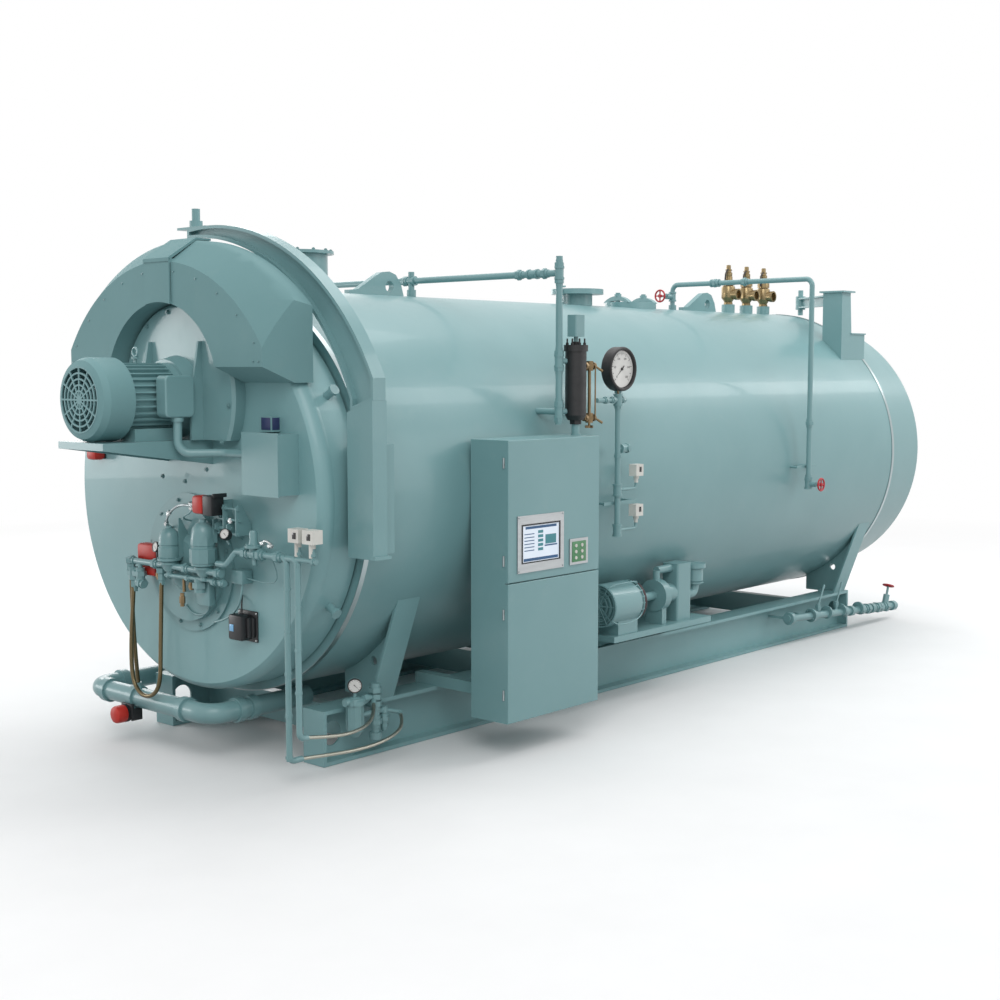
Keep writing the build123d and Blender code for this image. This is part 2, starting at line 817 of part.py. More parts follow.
def motor_terminal_box():
    """Terminal box on the side of the motor with its rounded lid."""
    lid = block(terminal_x, terminal_y, terminal_z)
    lid = fillet(lid.edges().filter_by(Axis.Y), terminal_round)
    lid = fillet(lid.faces().sort_by(Axis.Y)[0].edges(), terminal_round / 3)
    inset = 22.0
    neck_x = (terminal_x[0] + inset, terminal_x[1] - inset)
    neck_z = (terminal_z[0] + inset, terminal_z[1] - inset)
    neck = block(neck_x, (terminal_y[1], -motor_core_radius / 2), neck_z)
    bore = rod((cowl_x, 0, motor_z), (0, 0, motor_z), motor_radius + seat_gap)
    return lid + (neck - bore)


def motor_shelf():
    """Motor bracket: plate with side webs that deepen towards the door."""
    back = door_face_x - seat_gap
    front = cowl_x
    outline = [(front, shelf_top), (back, shelf_top), (back, shelf_top - shelf_back_drop)]
    outline += [(front, shelf_top - shelf_front_drop)]
    outer = plate_xz(outline, -shelf_half_width, 2 * shelf_half_width)
    inner_half = shelf_half_width - shelf_wall
    pocket_top = shelf_top - shelf_wall
    pocket = [(front + shelf_wall, pocket_top), (back + 1, pocket_top)]
    pocket += [(back + 1, shelf_top - 2 * shelf_back_drop), (front + shelf_wall, shelf_top - 2 * shelf_back_drop)]
    shelf = outer - plate_xz(pocket, -inner_half, 2 * inner_half)
    cowl_well = rod((cowl_x - 1, 0, motor_z), (motor_x[0] + 1, 0, motor_z), cowl_radius + seat_gap)
    return shelf - cowl_well


def motor_conduit():
    """Conduit from the terminal box down and across to the junction box."""
    x = (terminal_x[0] + terminal_x[1]) / 2
    y = -shelf_half_width - conduit_radius - 14
    end_x = (junction_x + door_face_x) / 2
    points = (
        (x, y, terminal_z[0] - seat_gap),
        (x, y, conduit_z),
        (end_x, y - 150, conduit_z),
        (end_x, junction_y[1] + seat_gap, conduit_z),
    )
    nut = rod((x, y, terminal_z[0] - 20), (x, y, terminal_z[0] - seat_gap), conduit_radius + 8)
    return pipe(points, conduit_radius, conduit_bend) + nut


def junction_box():
    """Junction box on the door with a lid, and the small unit above it."""
    back = door_face_x - seat_gap
    case = block((junction_x, back), junction_y, junction_z)
    lid_y = (junction_y[0] - junction_lid, junction_y[1] + junction_lid)
    lid_z = (junction_z[0] - junction_lid, junction_z[1] + junction_lid)
    return case + block((junction_x - junction_lid, junction_x), lid_y, lid_z)


def pilot_box():
    """Small unit above the junction box."""
    back = door_face_x - seat_gap
    z = (junction_z[1] + junction_lid + seat_gap, pilot_box_z[1])
    return block((back - 54, back), pilot_box_y, z)


def door_switches():
    """Two pressure switches side by side on the fuel line."""
    pipe_front = gas_drop_x + gas_run_radius + seat_gap
    low = gas_run_z + gas_run_radius + seat_gap
    boxes = []
    for index in (0, 1):
        shift = -index * switch_step
        y = (switch_y[0] + shift, switch_y[1] + shift)
        middle = (y[0] + y[1]) / 2
        boxes.append(block((pipe_front - 36, pipe_front + 26), y, switch_z))
        boxes.append(rod((gas_drop_x, middle, low), (gas_drop_x, middle, switch_z[0]), 9))
    return Part() + boxes


def front_davit():
    """Near-side half arch of I section that carries the front door."""
    inner_y, inner_z = davit_inner_centre
    outer_root = axis_height + math.sqrt(davit_radius**2 - column_y[0] ** 2)
    tip_outer = axis_height + math.sqrt(davit_radius**2 - davit_tip_y**2)
    tip_inner = inner_z + math.sqrt(davit_inner_radius**2 - (davit_tip_y - inner_y) ** 2)
    root_y = column_y[1] - davit_flange
    inner_root = inner_z + math.sqrt(davit_inner_radius**2 - (root_y - inner_y) ** 2)
    lean = math.radians(38)
    outer_mid = (-davit_radius * math.sin(lean), axis_height + davit_radius * math.cos(lean))
    inner_mid = (inner_y - davit_inner_radius * math.sin(lean), inner_z + davit_inner_radius * math.cos(lean))
    slope = (column_outer_top - column_inner_top) / (column_y[0] - column_y[1])
    inner_foot = column_inner_top + slope * (root_y - column_y[1])
    foot = seat_gap * 2
    outline = ThreePointArc((davit_tip_y, tip_outer), outer_mid, (column_y[0], outer_root))
    outline += Polyline(
        (column_y[0], outer_root),
        (column_y[0], column_outer_top + foot),
        (root_y, inner_foot + foot),
        (root_y, inner_root),
    )
    outline += ThreePointArc((root_y, inner_root), inner_mid, (davit_tip_y, tip_inner))
    outline += Line((davit_tip_y, tip_inner), (davit_tip_y, tip_outer))
    section = make_face(outline)
    rim = section - offset(section, -davit_flange)
    beam = extrude(Plane.YZ.offset(davit_x) * rim, davit_width)
    web_x = davit_x + (davit_width - davit_web) / 2
    beam += extrude(Plane.YZ.offset(web_x) * section, davit_web)
    end_x = (davit_x, davit_x + davit_width)
    lip = block(end_x, (davit_tip_y - 150, davit_tip_y + davit_lip), (tip_outer, tip_outer + 12))
    pin_x = davit_x + davit_width / 2
    pin = rod((pin_x, davit_pin_y, tip_outer), (pin_x, davit_pin_y, davit_pin_top), davit_pin_radius)
    nut = rod((pin_x, davit_pin_y, tip_outer), (pin_x, davit_pin_y, tip_outer + 44), davit_pin_radius * 1.6)
    return beam + lip + pin + nut


def davit_column():
    """Column below the arch, with its foot plate and the pad on the shell."""
    x = (davit_x - 6, davit_x + davit_width + 6)
    outline = [(column_y[0], column_outer_top), (column_y[1], column_inner_top)]
    outline += [(column_y[1], column_bottom), (column_y[0], column_bottom)]
    post = plate_yz(outline, x[0], x[1] - x[0])
    foot_y = (column_y[0] - column_foot, column_y[1])
    foot = block((x[0], x[1] + 12), foot_y, (column_bottom - column_foot, column_bottom))
    pad_y = (column_y[0] + 60, -shell_side(column_inner_top))
    pad = block((x[1], column_pad_x), pad_y, (column_bottom, column_inner_top - 150))
    pad -= drum(shell_radius + band_proud + 2 * seat_gap, -1, column_pad_x + 1)
    pad -= drum(-column_y[1], x[0], 0)
    return post + foot + pad


def control_cabinet():
    """Floor-to-shoulder cabinet with an upper and a lower door."""
    body_y = (cabinet_y[0] + cabinet_door, cabinet_y[1])
    body = block(cabinet_x, body_y, cabinet_z)
    half = cabinet_groove / 2
    door_y = (cabinet_y[0], body_y[0])
    lower = block(cabinet_x, door_y, (cabinet_z[0], cabinet_split - half))
    upper = block(cabinet_x, door_y, (cabinet_split + half, cabinet_z[1]))
    lower = fillet(lower.edges().group_by(Axis.Y)[0], 4)
    upper = fillet(upper.edges().group_by(Axis.Y)[0], 4)
    return body + lower + upper


def cabinet_arms():
    """Two arms from the near rail to the back of the cabinet."""
    z = (rail_height + seat_gap, rail_height + arm_width)
    y = (cabinet_y[1] + seat_gap, -rail_inner)
    left = cabinet_x[0] + arm_inset
    right = cabinet_x[1] - arm_inset - arm_width
    return Part() + [block((x, x + arm_width), y, z) for x in (left, right)]


def cabinet_screen():
    """Screen bezel and the small panel beside it."""
    back = cabinet_y[0] - seat_gap
    front = back - bezel_proud
    bezel = block(bezel_x, (front, back), bezel_z)
    glass_x = (bezel_x[0] + screen_inset[0], bezel_x[1] - screen_inset[0])
    glass_z = (bezel_z[0] + screen_inset[1], bezel_z[1] - screen_inset[1])
    bezel -= block(glass_x, (front, front + bezel_proud / 2), glass_z)
    return bezel + block(panel_x, (front, back), panel_z)


def nozzle(x, radius, bore, flange, wall, top, circle, count, hole):
    """Flanged nozzle on the crest of the shell, drilled for its bolts."""
    low = axis_height + shell_radius - shell_wall / 2
    outer = [(bore, low), (radius, low), (radius, top - wall), (flange, top - wall), (flange, top), (bore, top)]
    body = off_shell(upright((x, 0), outer))
    for index in range(count):
        turn = 2 * math.pi * (index + 0.5) / count
        px = x + circle / 2 * math.cos(turn)
        py = circle / 2 * math.sin(turn)
        body -= rod((px, py, top - wall), (px, py, top), hole)
    return body


def lifting_lug(x):
    """Hog-nosed lifting plate that stands on the crest of the shell."""
    low = shell_crest + seat_gap
    end = x + lifting_length
    eye_x = end - lifting_eye_inset
    nose_top = lifting_eye_z + lifting_nose
    outline = [(x, low), (x, low + 22), (x + 60, low + 26), (eye_x - 100, nose_top - 26)]
    outline += [(eye_x - 60, nose_top - 6), (eye_x, nose_top), (eye_x + 50, nose_top - 16)]
    outline += [(eye_x + 92, lifting_eye_z + 12), (end, low)]
    plate = plate_xz(outline, -lifting_wall / 2, lifting_wall)
    side = lifting_wall
    return plate - rod((eye_x, -side, lifting_eye_z), (eye_x, side, lifting_eye_z), lifting_eye_radius)


def manway():
    """Oval manway cover with two arched yokes and their bolts."""
    low = shell_top(manway_half_width) - 10
    top = shell_crest + manway_rise
    ring = extrude(Pos(manway_x, 0, low) * Ellipse(manway_half_length, manway_half_width), top - low)
    solid = off_shell(ring)
    base = top - 4
    for side in (-1, 1):
        x = manway_x + side * yoke_spacing / 2 - yoke_width / 2
        rise = base + yoke_rise - 30
        outer = ThreePointArc((-yoke_half_span, base), (0, rise), (yoke_half_span, base))
        inset = yoke_half_span - yoke_bar
        inner = ThreePointArc((inset, base), (0, rise - yoke_bar), (-inset, base))
        feet = Line((yoke_half_span, base), (inset, base))
        closing = Line((-inset, base), (-yoke_half_span, base))
        arch = make_face(outer + feet + inner + closing)
        solid += extrude(Plane.YZ.offset(x) * arch, yoke_width)
        middle = x + yoke_width / 2
        solid += rod((middle, 0, base), (middle, 0, shell_crest + yoke_bolt_rise), yoke_bolt_radius)
        nut_z = rise + 2
        solid += rod((middle, 0, rise - 4), (middle, 0, nut_z + 12), yoke_bolt_radius * 1.5)
    return solid


def safety_valve(x):
    """Angle safety valve: inlet, bowl, side outlet, spring bonnet, cap and lever."""
    profile = [(0, coupling_top), (safety_radius, coupling_top), (safety_radius, coupling_top + 26)]
    base = coupling_top
    profile += [(26, base + 30), (30, base + 42), (50, base + 62), (50, base + 108), (34, base + 132)]
    profile += [(34, base + 162), (40, base + 164), (40, base + 178), (27, base + 184), (25, base + 242)]
    profile += [(17, base + 262)]
    profile += [(14, safety_cap_z), (0, safety_cap_z)]
    valve = upright((x, 0), profile)
    outlet_end = (x, -safety_outlet_reach, safety_outlet_z)
    valve += rod((x, 0, safety_outlet_z), outlet_end, safety_outlet_radius - 8)
    valve += rod((x, -safety_outlet_reach + 20, safety_outlet_z), outlet_end, safety_outlet_radius)
    hook = [(x - 30, base + 166), (x - 54, base + 166), (x - 50, base + 244), (x - 8, base + 280)]
    hook += [(x - 8, base + 266), (x - 42, base + 240), (x - 42, base + 177), (x - 30, base + 177)]
    valve += plate_xz(hook, -4, 8)
    bore_start = (x, -safety_outlet_reach + 40, safety_outlet_z)
    return valve - rod(bore_start, outlet_end, safety_outlet_radius - 14)


def safety_couplings():
    """Welded couplings under the safety valves."""
    low = shell_crest - 10
    parts = [rod((x, 0, low), (x, 0, coupling_top - seat_gap), coupling_radius) for x in safety_x]
    return off_shell(Part() + parts)


def equalizing_pipe():
    """Cross pipe over the shell with a riser down each side."""
    solid = rod((equal_x, -equal_y, equal_z), (equal_x, equal_y, equal_z), equal_radius)
    solid += rod((equal_x, 0, shell_crest + seat_gap), (equal_x, 0, equal_z + 52), equal_radius)
    solid += rod((equal_x, 0, shell_crest + seat_gap), (equal_x, 0, shell_crest + 40), tee_radius)
    solid += tee((equal_x, 0, equal_z), (0, 1, 0)) + tee((equal_x, 180 - equal_y, equal_z), (0, 1, 0))
    for z in (equal_mid_z, equal_low_z):
        start = Vector(equal_x, -equal_y, z)
        end = Vector(column_x, column_centre_y, z)
        run = (end - start).normalized()
        solid += rod(start, end - run * (column_radius + seat_gap), equal_radius * 0.8)
    for side in (-1, 1):
        y = side * equal_y
        solid += rod((equal_x, y, equal_low_z), (equal_x, y, equal_top), equal_radius)
        for z in (equal_z, equal_mid_z, equal_low_z):
            solid += tee((equal_x, y, z), (0, 0, 1))
        reach = side * shell_side(equal_low_z) + side * seat_gap
        solid += rod((equal_x, y, equal_low_z), (equal_x, reach, equal_low_z), equal_radius)
    return off_shell(solid)


def water_column():
    """Cast water column between its two connections, with a drain to the cabinet."""
    low, high = column_z
    profile = [(0, low), (column_radius * 0.75, low), (column_radius, low + 26), (column_radius, high - 34)]
    profile += [(column_radius + 8, high - 34), (column_radius + 8, high), (0, high)]
    solid = upright((column_x, column_centre_y), profile)
    drain_top = low - seat_gap
    return solid + rod(
        (column_x, column_centre_y, cabinet_z[1] + seat_gap),
        (column_x, column_centre_y, drain_top + 1),
        column_pipe_radius,
    )


def column_switch():
    """Level probe housing on a stem above the water column."""
    x = (column_x - probe_half, column_x + probe_half)
    y = (column_centre_y - probe_half * 0.8, column_centre_y + probe_half * 0.8)
    case = block(x, y, probe_z)
    case = fillet(case.edges().filter_by(Axis.Z), 8)
    stem_low = (column_x, column_centre_y, column_z[1] + seat_gap)
    return case + rod(stem_low, (column_x, column_centre_y, probe_z[0]), 12)


def gauge_glass():
    """Sight glass between two brass cocks, with its guard rods."""
    low, high = glass_z
    solid = rod((glass_x, column_centre_y, low), (glass_x, column_centre_y, high), glass_radius)
    start = column_x + column_radius + seat_gap
    for z in (low, high - 20):
        solid += rod((start, column_centre_y, z), (glass_x + 34, column_centre_y, z), 11)
        solid += rod((glass_x, column_centre_y, z - 24), (glass_x, column_centre_y, z + 24), 17)
        solid += rod((glass_x + 26, column_centre_y, z), (glass_x + 40, column_centre_y, z), 20)
    for y in (column_centre_y - 22, column_centre_y + 22):
        solid += rod((glass_x + 24, y, low), (glass_x + 24, y, high - 20), 4)
        for z in (low, high - 20):
            solid += rod((glass_x + 24, y, z), (glass_x + 24, column_centre_y, z), 5)
    return solid


def steam_gauge():
    """Dial gauge: case, bezel and recessed dial, on its stem."""
    back = gauge_y + gauge_depth / 2
    front = gauge_y - gauge_depth / 2
    case = rod((gauge_x, front, gauge_z), (gauge_x, back, gauge_z), gauge_radius)
    case = fillet(case.edges().group_by(Axis.Y)[-1], 14)
    case -= rod((gauge_x, front, gauge_z), (gauge_x, front + 10, gauge_z), dial_radius)
    foot = header_pipe_z[1] + tee_half + seat_gap
    return case + rod((gauge_x, gauge_y, foot), (gauge_x, gauge_y, gauge_z - gauge_radius + 8), 11)


def pressure_header():
    """Pressure pipe from the gauge down past the switches, strapped to the shell."""
    x = gauge_x
    y = gauge_y
    low, high = header_pipe_z
    solid = rod((x, y, low), (x, y, high), header_pipe_radius)
    solid += tee((x, y, high), (0, 0, 1)) + rod((x, y, high), (glass_x + 180, y, high), header_pipe_radius * 0.8)
    solid += rod((glass_x + 80, y, high), (glass_x + 180, y, high), header_pipe_radius * 0.8)
    solid += tee((x + 55, y, cock_z), (1, 0, 0)) + rod((x, y, cock_z), (x + 90, y, cock_z), 11)
    solid += rod((x + 76, y - 30, cock_z), (x + 76, y + 10, cock_z), 16)
    size_x, size_y, size_z = pressure_switch_size
    for z in pressure_switch_z:
        bottom = z - size_z / 2 - 70
        solid += tee((x, y, bottom), (0, 0, 1))
        turn = (
            (x, y, bottom),
            (pressure_switch_x, y, bottom),
            (pressure_switch_x, y, z - size_z / 2 - seat_gap),
        )
        solid += pipe(turn, 9, 22)
    solid += block(strap_x, (y + header_pipe_radius, y + header_pipe_radius + 8), (strap_z - 9, strap_z + 9))
    for end in strap_x:
        shift = 20 if end == strap_x[0] else -20
        reach = -shell_side(strap_z) - seat_gap
        solid += rod((end + shift, y + header_pipe_radius, strap_z), (end + shift, reach, strap_z), 8)
    return off_shell(solid)


def pressure_switches():
    """Two switch boxes on the pressure header."""
    size_x, size_y, size_z = pressure_switch_size
    boxes = []
    for z in pressure_switch_z:
        case = Pos(pressure_switch_x, gauge_y, z) * Box(size_x, size_y, size_z)
        boxes.append(fillet(case.edges().filter_by(Axis.Z), 5))
    return Part() + boxes


def vent_pipe():
    """Vent line from the crest, across and down the near side to its cock."""
    base = (vent_line_x, 0, shell_crest + seat_gap)
    points = (
        base,
        (vent_line_x, 0, vent_line_z),
        (vent_line_x, vent_line_y, vent_line_z),
        (vent_line_x, vent_line_y, vent_line_bottom),
    )
    solid = pipe(points, vent_line_radius, vent_line_bend)
    solid += rod(base, (vent_line_x, 0, shell_crest + 34), tee_radius)
    hub_half = wheel_rim * 1.5
    solid += tee((vent_line_x, vent_line_union_y, vent_line_z), (0, 1, 0))
    solid += tee((vent_line_x, 0, vent_valve_z), (0, 0, 1))
    solid += rod((vent_line_x, 0, vent_valve_z), (vent_valve_x + hub_half + seat_gap, 0, vent_valve_z), 8)
    solid += rod((vent_line_x, 0, vent_valve_z), (vent_line_x - 80, 0, vent_valve_z), 20)
    low = vent_line_bottom
    solid += tee((vent_line_x, vent_line_y, low), (0, 0, 1))
    solid += rod((vent_line_x, vent_line_y, low), (vent_line_x, vent_line_y - wheel_reach, low), 18)
    stem_end = vent_line_y - wheel_reach - 34 + hub_half + seat_gap
    solid += rod((vent_line_x, vent_line_y, low), (vent_line_x, stem_end, low), 7)
    bar_y = vent_line_y + vent_line_radius
    bar_z = (vent_strap_z - 8, vent_strap_z + 8)
    solid += block(vent_strap_x, (bar_y, bar_y + 8), bar_z)
    for end, shift in zip(vent_strap_x, (20, -20)):
        reach = -shell_side(vent_strap_z) - seat_gap
        solid += rod((end + shift, bar_y + 4, vent_strap_z), (end + shift, reach, vent_strap_z), 8)
    return off_shell(solid)


def blowdown_slope():
    """Fall of the blowdown pipe along X."""
    return (blowdown_end[1] - blowdown_start[1]) / (blowdown_end[0] - blowdown_start[0])


def blowdown_stem():
    """Top of the blowdown valve's stem, and its direction."""
    z = blowdown_start[1] + blowdown_slope() * (blowdown_valve_x - blowdown_start[0])
    valve = Vector(blowdown_valve_x, blowdown_y, z)
    wheel = Vector(blowdown_wheel[0], blowdown_y, blowdown_wheel[1])
    return wheel, (wheel - valve).normalized()


def handwheels():
    """Handwheels of the two vent cocks and of the blowdown valve."""
    upper = handwheel((vent_valve_x, 0, vent_valve_z), (-1, 0, 0))
    y = vent_line_y - wheel_reach - 34
    lower = handwheel((vent_line_x, y, vent_line_bottom), (0, -1, 0))
    seat, along = blowdown_stem()
    return upper + lower + handwheel(tuple(seat + along * (wheel_rim * 1.5 + seat_gap)), tuple(along))


def rear_davit():
    """Box post on the shoulder of the shell."""
    low = axis_height + math.sqrt(shell_radius**2 - post_y[0] ** 2) - 60
    taper = post_x[1] - 24
    body_top = post_top - post_cap
    outline = [(post_x[0], low), (post_x[0], body_top), (taper, body_top), (post_x[1], post_foot_top)]
    outline += [(post_foot_x, post_foot_top), (post_foot_x, low)]
    post = off_shell(plate_xz(outline, post_y[0], post_y[1] - post_y[0]))
    post -= turned(
        [
            (shell_length - band_width - seat_gap, 0),
            (shell_length - band_width - seat_gap, shell_radius + band_proud + 2 * seat_gap),
            (shell_length + 1, shell_radius + band_proud + 2 * seat_gap),
            (shell_length + 1, 0),
        ]
    )
    cap_x = (post_x[0] - 18, post_x[1] + 6)
    cap_y = (post_y[0] - 22, post_y[1] + 22)
    cap = block(cap_x, cap_y, (body_top, post_top))
    ledge = block((post_x[1] - 10, post_foot_x + 6), (post_y[0] - 8, post_y[1] + 8), (post_foot_top, post_foot_top + 10))
    return post + cap + ledge


def rear_davit_arm():
    """Curved I-section arm from the post to the pin over the rear door."""
    start = (post_x[1] - 20, post_y[1] + 22 + seat_gap - 60)
    arc = ThreePointArc(start, rear_arm_via, rear_arm_end)
    low, high = rear_arm_z
    wide = trace(arc, rear_arm_width)
    web = extrude(Pos(0, 0, low) * trace(arc, rear_arm_flange), high - low)
    bottom = extrude(Pos(0, 0, low) * wide, rear_arm_flange)
    top = extrude(Pos(0, 0, high - rear_arm_flange) * wide, rear_arm_flange)
    x, y = rear_arm_end
    hub = rod((x, y, low - 12), (x, y, high + 12), rear_hub_radius)
    pin = rod((x, y, rear_pin_z[0]), (x, y, rear_pin_z[1]), rear_pin_radius)
    post = block((post_x[0], post_x[1] + seat_gap), (post_y[0], post_y[1] + seat_gap), (low - 1, high + 1))
    return web + bottom + top + hub + pin - post


def pump_base():
    """Folded shelf for the pump set, braced from the rail."""
    outer, inner = pump_shelf_y
    bottom, top = pump_shelf_z
    wall = pump_shelf_wall
    shelf = block(pump_shelf_x, pump_shelf_y, pump_shelf_z)
    pocket_x = (pump_shelf_x[0] + wall, pump_shelf_x[1] - wall)
    shelf -= block(pocket_x, (outer + wall, inner - wall), (bottom, top - wall))
    low = rail_height + seat_gap
    outline = [(outer + 2 * wall, bottom + wall / 2), (outer + 2 * wall, top - wall / 2)]
    outline += [(inner - 2 * wall, top - wall / 2), (inner - 2 * wall, low), (-rail_outer, low)]
    span = pump_shelf_x[1] - pump_shelf_x[0] - 6 * wall
    for share in (0, 0.5, 1):
        shelf += plate_yz(outline, pump_shelf_x[0] + 2.5 * wall + share * span, wall)
    return shelf


def pump_motor():
    """Foot-mounted motor with lengthwise fins and its fan guard."""
    start, end = pump_motor_x
    section = Circle(pump_motor_core)
    fin = Pos(pump_motor_core, 0) * Rectangle((pump_motor_radius - pump_motor_core) * 2, 7)
    section += [Rot(0, 0, 360 * index / pump_fins) * fin for index in range(pump_fins)]
    frame = extrude(Plane.YZ.offset(start + guard_length) * section, end - start - guard_length)
    body = Pos(0, pump_y, pump_z) * frame
    guard = rod((start, pump_y, pump_z), (start + guard_length + 2, pump_y, pump_z), pump_motor_radius + 4)
    hollow = (start + guard_length - 6, pump_y, pump_z)
    guard -= rod((start, pump_y, pump_z), hollow, pump_motor_radius - 2)
    cage = Circle(22)
    for radius in (50.0, 78.0, 106.0):
        cage += Circle(radius + 3) - Circle(radius - 3)
    spoke = Rectangle(2 * pump_motor_radius - 2, 6)
    cage += [Rot(0, 0, 45 * index) * spoke for index in range(4)]
    guard += Pos(0, pump_y, pump_z) * extrude(Plane.YZ.offset(start) * cage, 5)
    foot_z = (pump_shelf_z[1] + seat_gap, pump_z - pump_motor_core * 0.7)
    half = pump_motor_core * 0.8
    foot = block((start + 70, end - 30), (pump_y - half, pump_y + half), foot_z)
    bell = rod((end - 1, pump_y, pump_z), (end + 42, pump_y, pump_z), pump_motor_core * 0.8)
    shaft = rod((end, pump_y, pump_z), (pump_block_x[0] - 170, pump_y, pump_z), 26)
    return body + guard + foot + bell + shaft


def pump_body():
    """Pump casing on its pedestal, with its strainer cup and elbow."""
    left, right = pump_block_x
    base = pump_shelf_z[1] + seat_gap
    half = pump_block_half
    start = left - 170 + seat_gap
    casing = rod((start, pump_y, pump_z), (start + 60, pump_y, pump_z), 96)
    casing += rod((start + 60, pump_y, pump_z), (left + 4, pump_y, pump_z), 58)
    pedestal = block((start + 8, start + 52), (pump_y - 60, pump_y + 60), (base, pump_z))
    tower = block((left, right), (pump_y - half, pump_y + half), (base, pump_block_z))
    tower = fillet(tower.edges().filter_by(Axis.Z), 14)
    cup_low, cup_high = pump_cup_z
    profile = [(0, cup_low), (pump_cup_radius * 0.6, cup_low), (pump_cup_radius * 0.9, cup_low + 30)]
    profile += [(pump_cup_radius * 0.9, cup_high - 26), (pump_cup_radius * 1.15, cup_high - 26)]
    profile += [(pump_cup_radius * 1.15, cup_high), (0, cup_high)]
    cup = upright((pump_cup_x, pump_y), profile)
    elbow = pipe(
        (
            (right - 4, pump_y, pump_z - 30),
            (pump_cup_x, pump_y, pump_z - 30),
            (pump_cup_x, pump_y, cup_low + 2),
        ),
        30,
        34,
    )
    arm = rod((start + 30, pump_y, pump_z + 90), (start + 30, pump_y, pump_z + 150), 22)
    arm += rod((start + 30, pump_y, pump_z + 150), (left + 2, pump_y, pump_z + 150), 24)
    return casing + pedestal + tower + cup + elbow + arm


def gas_header():
    """Gas header across the front, turning back under the shell at both ends."""
    far = header_y[1]
    near = header_y[0]
    points = (
        (header_end_x, far, header_z),
        (header_x, far, header_z),
        (header_x, near, header_z),
        (cross_inset - seat_gap, near, header_z),
    )
    solid = pipe(points, header_radius, header_bend)
    for x, y in ((header_x + 150, near), (header_x + 230, near), (header_x + 150, far)):
        solid += rod((x, y, header_z), (x + collar_length, y, header_z), collar_radius)
    for y in (header_actuator_y - 21, near + 180, far - 160):
        solid += rod((header_x, y, header_z), (header_x, y + collar_length, header_z), collar_radius)
    solid += hose_end(supply_hose_points[::-1], bronze_radius, 60)
    hanger_z = (header_z - 10, header_z + 10)
    return solid + block((hanger_x, hanger_x + 20), (rail_web_face, far), hanger_z)


def header_actuator():
    """Shut-off valve motor in front of the header."""
    start, end = header_actuator_x
    y = header_actuator_y
    z = header_actuator_z
    cap = rod((start, y, z), (end, y, z), header_actuator_radius)
    cap = fillet(cap.edges().group_by(Axis.X)[0], 10)
    plate = block((end, end + 26), (y - 52, y + 52), (z - 52, z + 52))
    header_low = header_z - collar_radius - seat_gap
    stub = block((end + 20, header_x + 20), (y - 22, y + 22), (z - 30, header_low))
    collar = rod((header_x, header_y[0], header_z), (header_x, header_y[1], header_z), collar_radius + seat_gap)
    return cap + plate + stub - collar


def regulator_set():
    """Filter, regulating valve and dial on a bracket of the near rail."""
    low, high = regulator_z
    r = regulator_radius
    profile = [(0, low), (r * 0.5, low), (r, low + 30), (r, high - 40), (r * 1.2, high - 40)]
    profile += [(r * 1.2, high - 18), (r * 0.5, high), (0, high)]
    solid = upright((regulator_x, regulator_y), profile)
    dial = (regulator_x, regulator_y, regulator_dial_z)
    solid += rod((regulator_x, regulator_y, high - 2), dial, 8)
    face = Vector(-0.62, -0.78, 0)
    middle = Vector(*dial)
    solid += rod(middle - face * 14, middle + face * 14, regulator_dial_radius)
    vx = regulator_valve_x
    vlow, vhigh = regulator_valve_z
    solid += rod((vx, regulator_y, vlow), (vx, regulator_y, vhigh), regulator_valve_radius)
    solid += rod((vx, regulator_y, vhigh), (vx, regulator_y, vhigh + 14), regulator_valve_radius * 1.15)
    solid += rod((vx, regulator_y, vlow), (vx, regulator_y, vlow + 36), regulator_valve_radius * 1.5)
    line = regulator_line_z
    solid += rod((regulator_x, regulator_y, line), (vx + 60, regulator_y, line), 14)
    for points, target in (
        (lower_hose_points, Vector(vx + 60, regulator_y, line)),
        (upper_hose_points, Vector(vx, regulator_y, vhigh - 60)),
    ):
        end = Vector(*points[-1])
        along = (end - Vector(*points[-2])).normalized()
        neck = end + along * 24
        solid += rod(end + along * seat_gap, neck, 13) + rod(neck, target, 11)
    bracket_y = (regulator_y, -rail_outer - seat_gap)
    solid += block((regulator_x - 8, regulator_x + 8), bracket_y, (rail_height - 19, rail_height - 3))
    return solid + block((vx - 8, vx + 8), bracket_y, (rail_height - 19, rail_height - 3))


def blowdown_line():
    """Sloping blowdown pipe with clamps, unions and an angle valve."""
    start = Vector(blowdown_start[0], blowdown_y, blowdown_start[1])
    end = Vector(blowdown_end[0], blowdown_y, blowdown_end[1])
    run = (end - start).normalized()
    solid = rod(start, end, blowdown_radius)
    for share in (0.5, 0.56, 0.66, 0.76, 0.84, 0.97):
        middle = start + (end - start) * share
        solid += rod(middle - run * 22, middle + run * 22, blowdown_radius * 1.45)
    slope = blowdown_slope()
    for x in blowdown_clamps:
        z = start.Z + slope * (x - start.X)
        ring = rod((x - 20, blowdown_y, z), (x + 20, blowdown_y, z), blowdown_radius * 1.7)
        solid += ring
        solid += block((x - 14, x + 14), (blowdown_y, -rail_web_face), (z - 8, z + 8))
    valve = Vector(blowdown_valve_x, blowdown_y, start.Z + slope * (blowdown_valve_x - start.X))
    wheel = Vector(blowdown_wheel[0], blowdown_y, blowdown_wheel[1])
    return solid + rod(valve, valve + (wheel - valve) * 0.6, 24) + rod(valve, wheel, 9)


def hose(points, radius, name):
    """Braided hose: straight runs joined by arcs as wide as the runs allow."""
    places = [Vector(*point) for point in points]
    radii = []
    for before, here, after in zip(places, places[1:], places[2:]):
        turn = (here - before).get_angle(after - here)
        shorter = min((here - before).length, (after - here).length)
        radii.append(0.45 * shorter / math.tan(math.radians(turn) / 2))
    print(name, [round(value) for value in radii])
    path = FilletPolyline(*points, radius=radii)
    return sweep(Plane(origin=path @ 0, z_dir=path % 0) * Circle(radius), path=path)


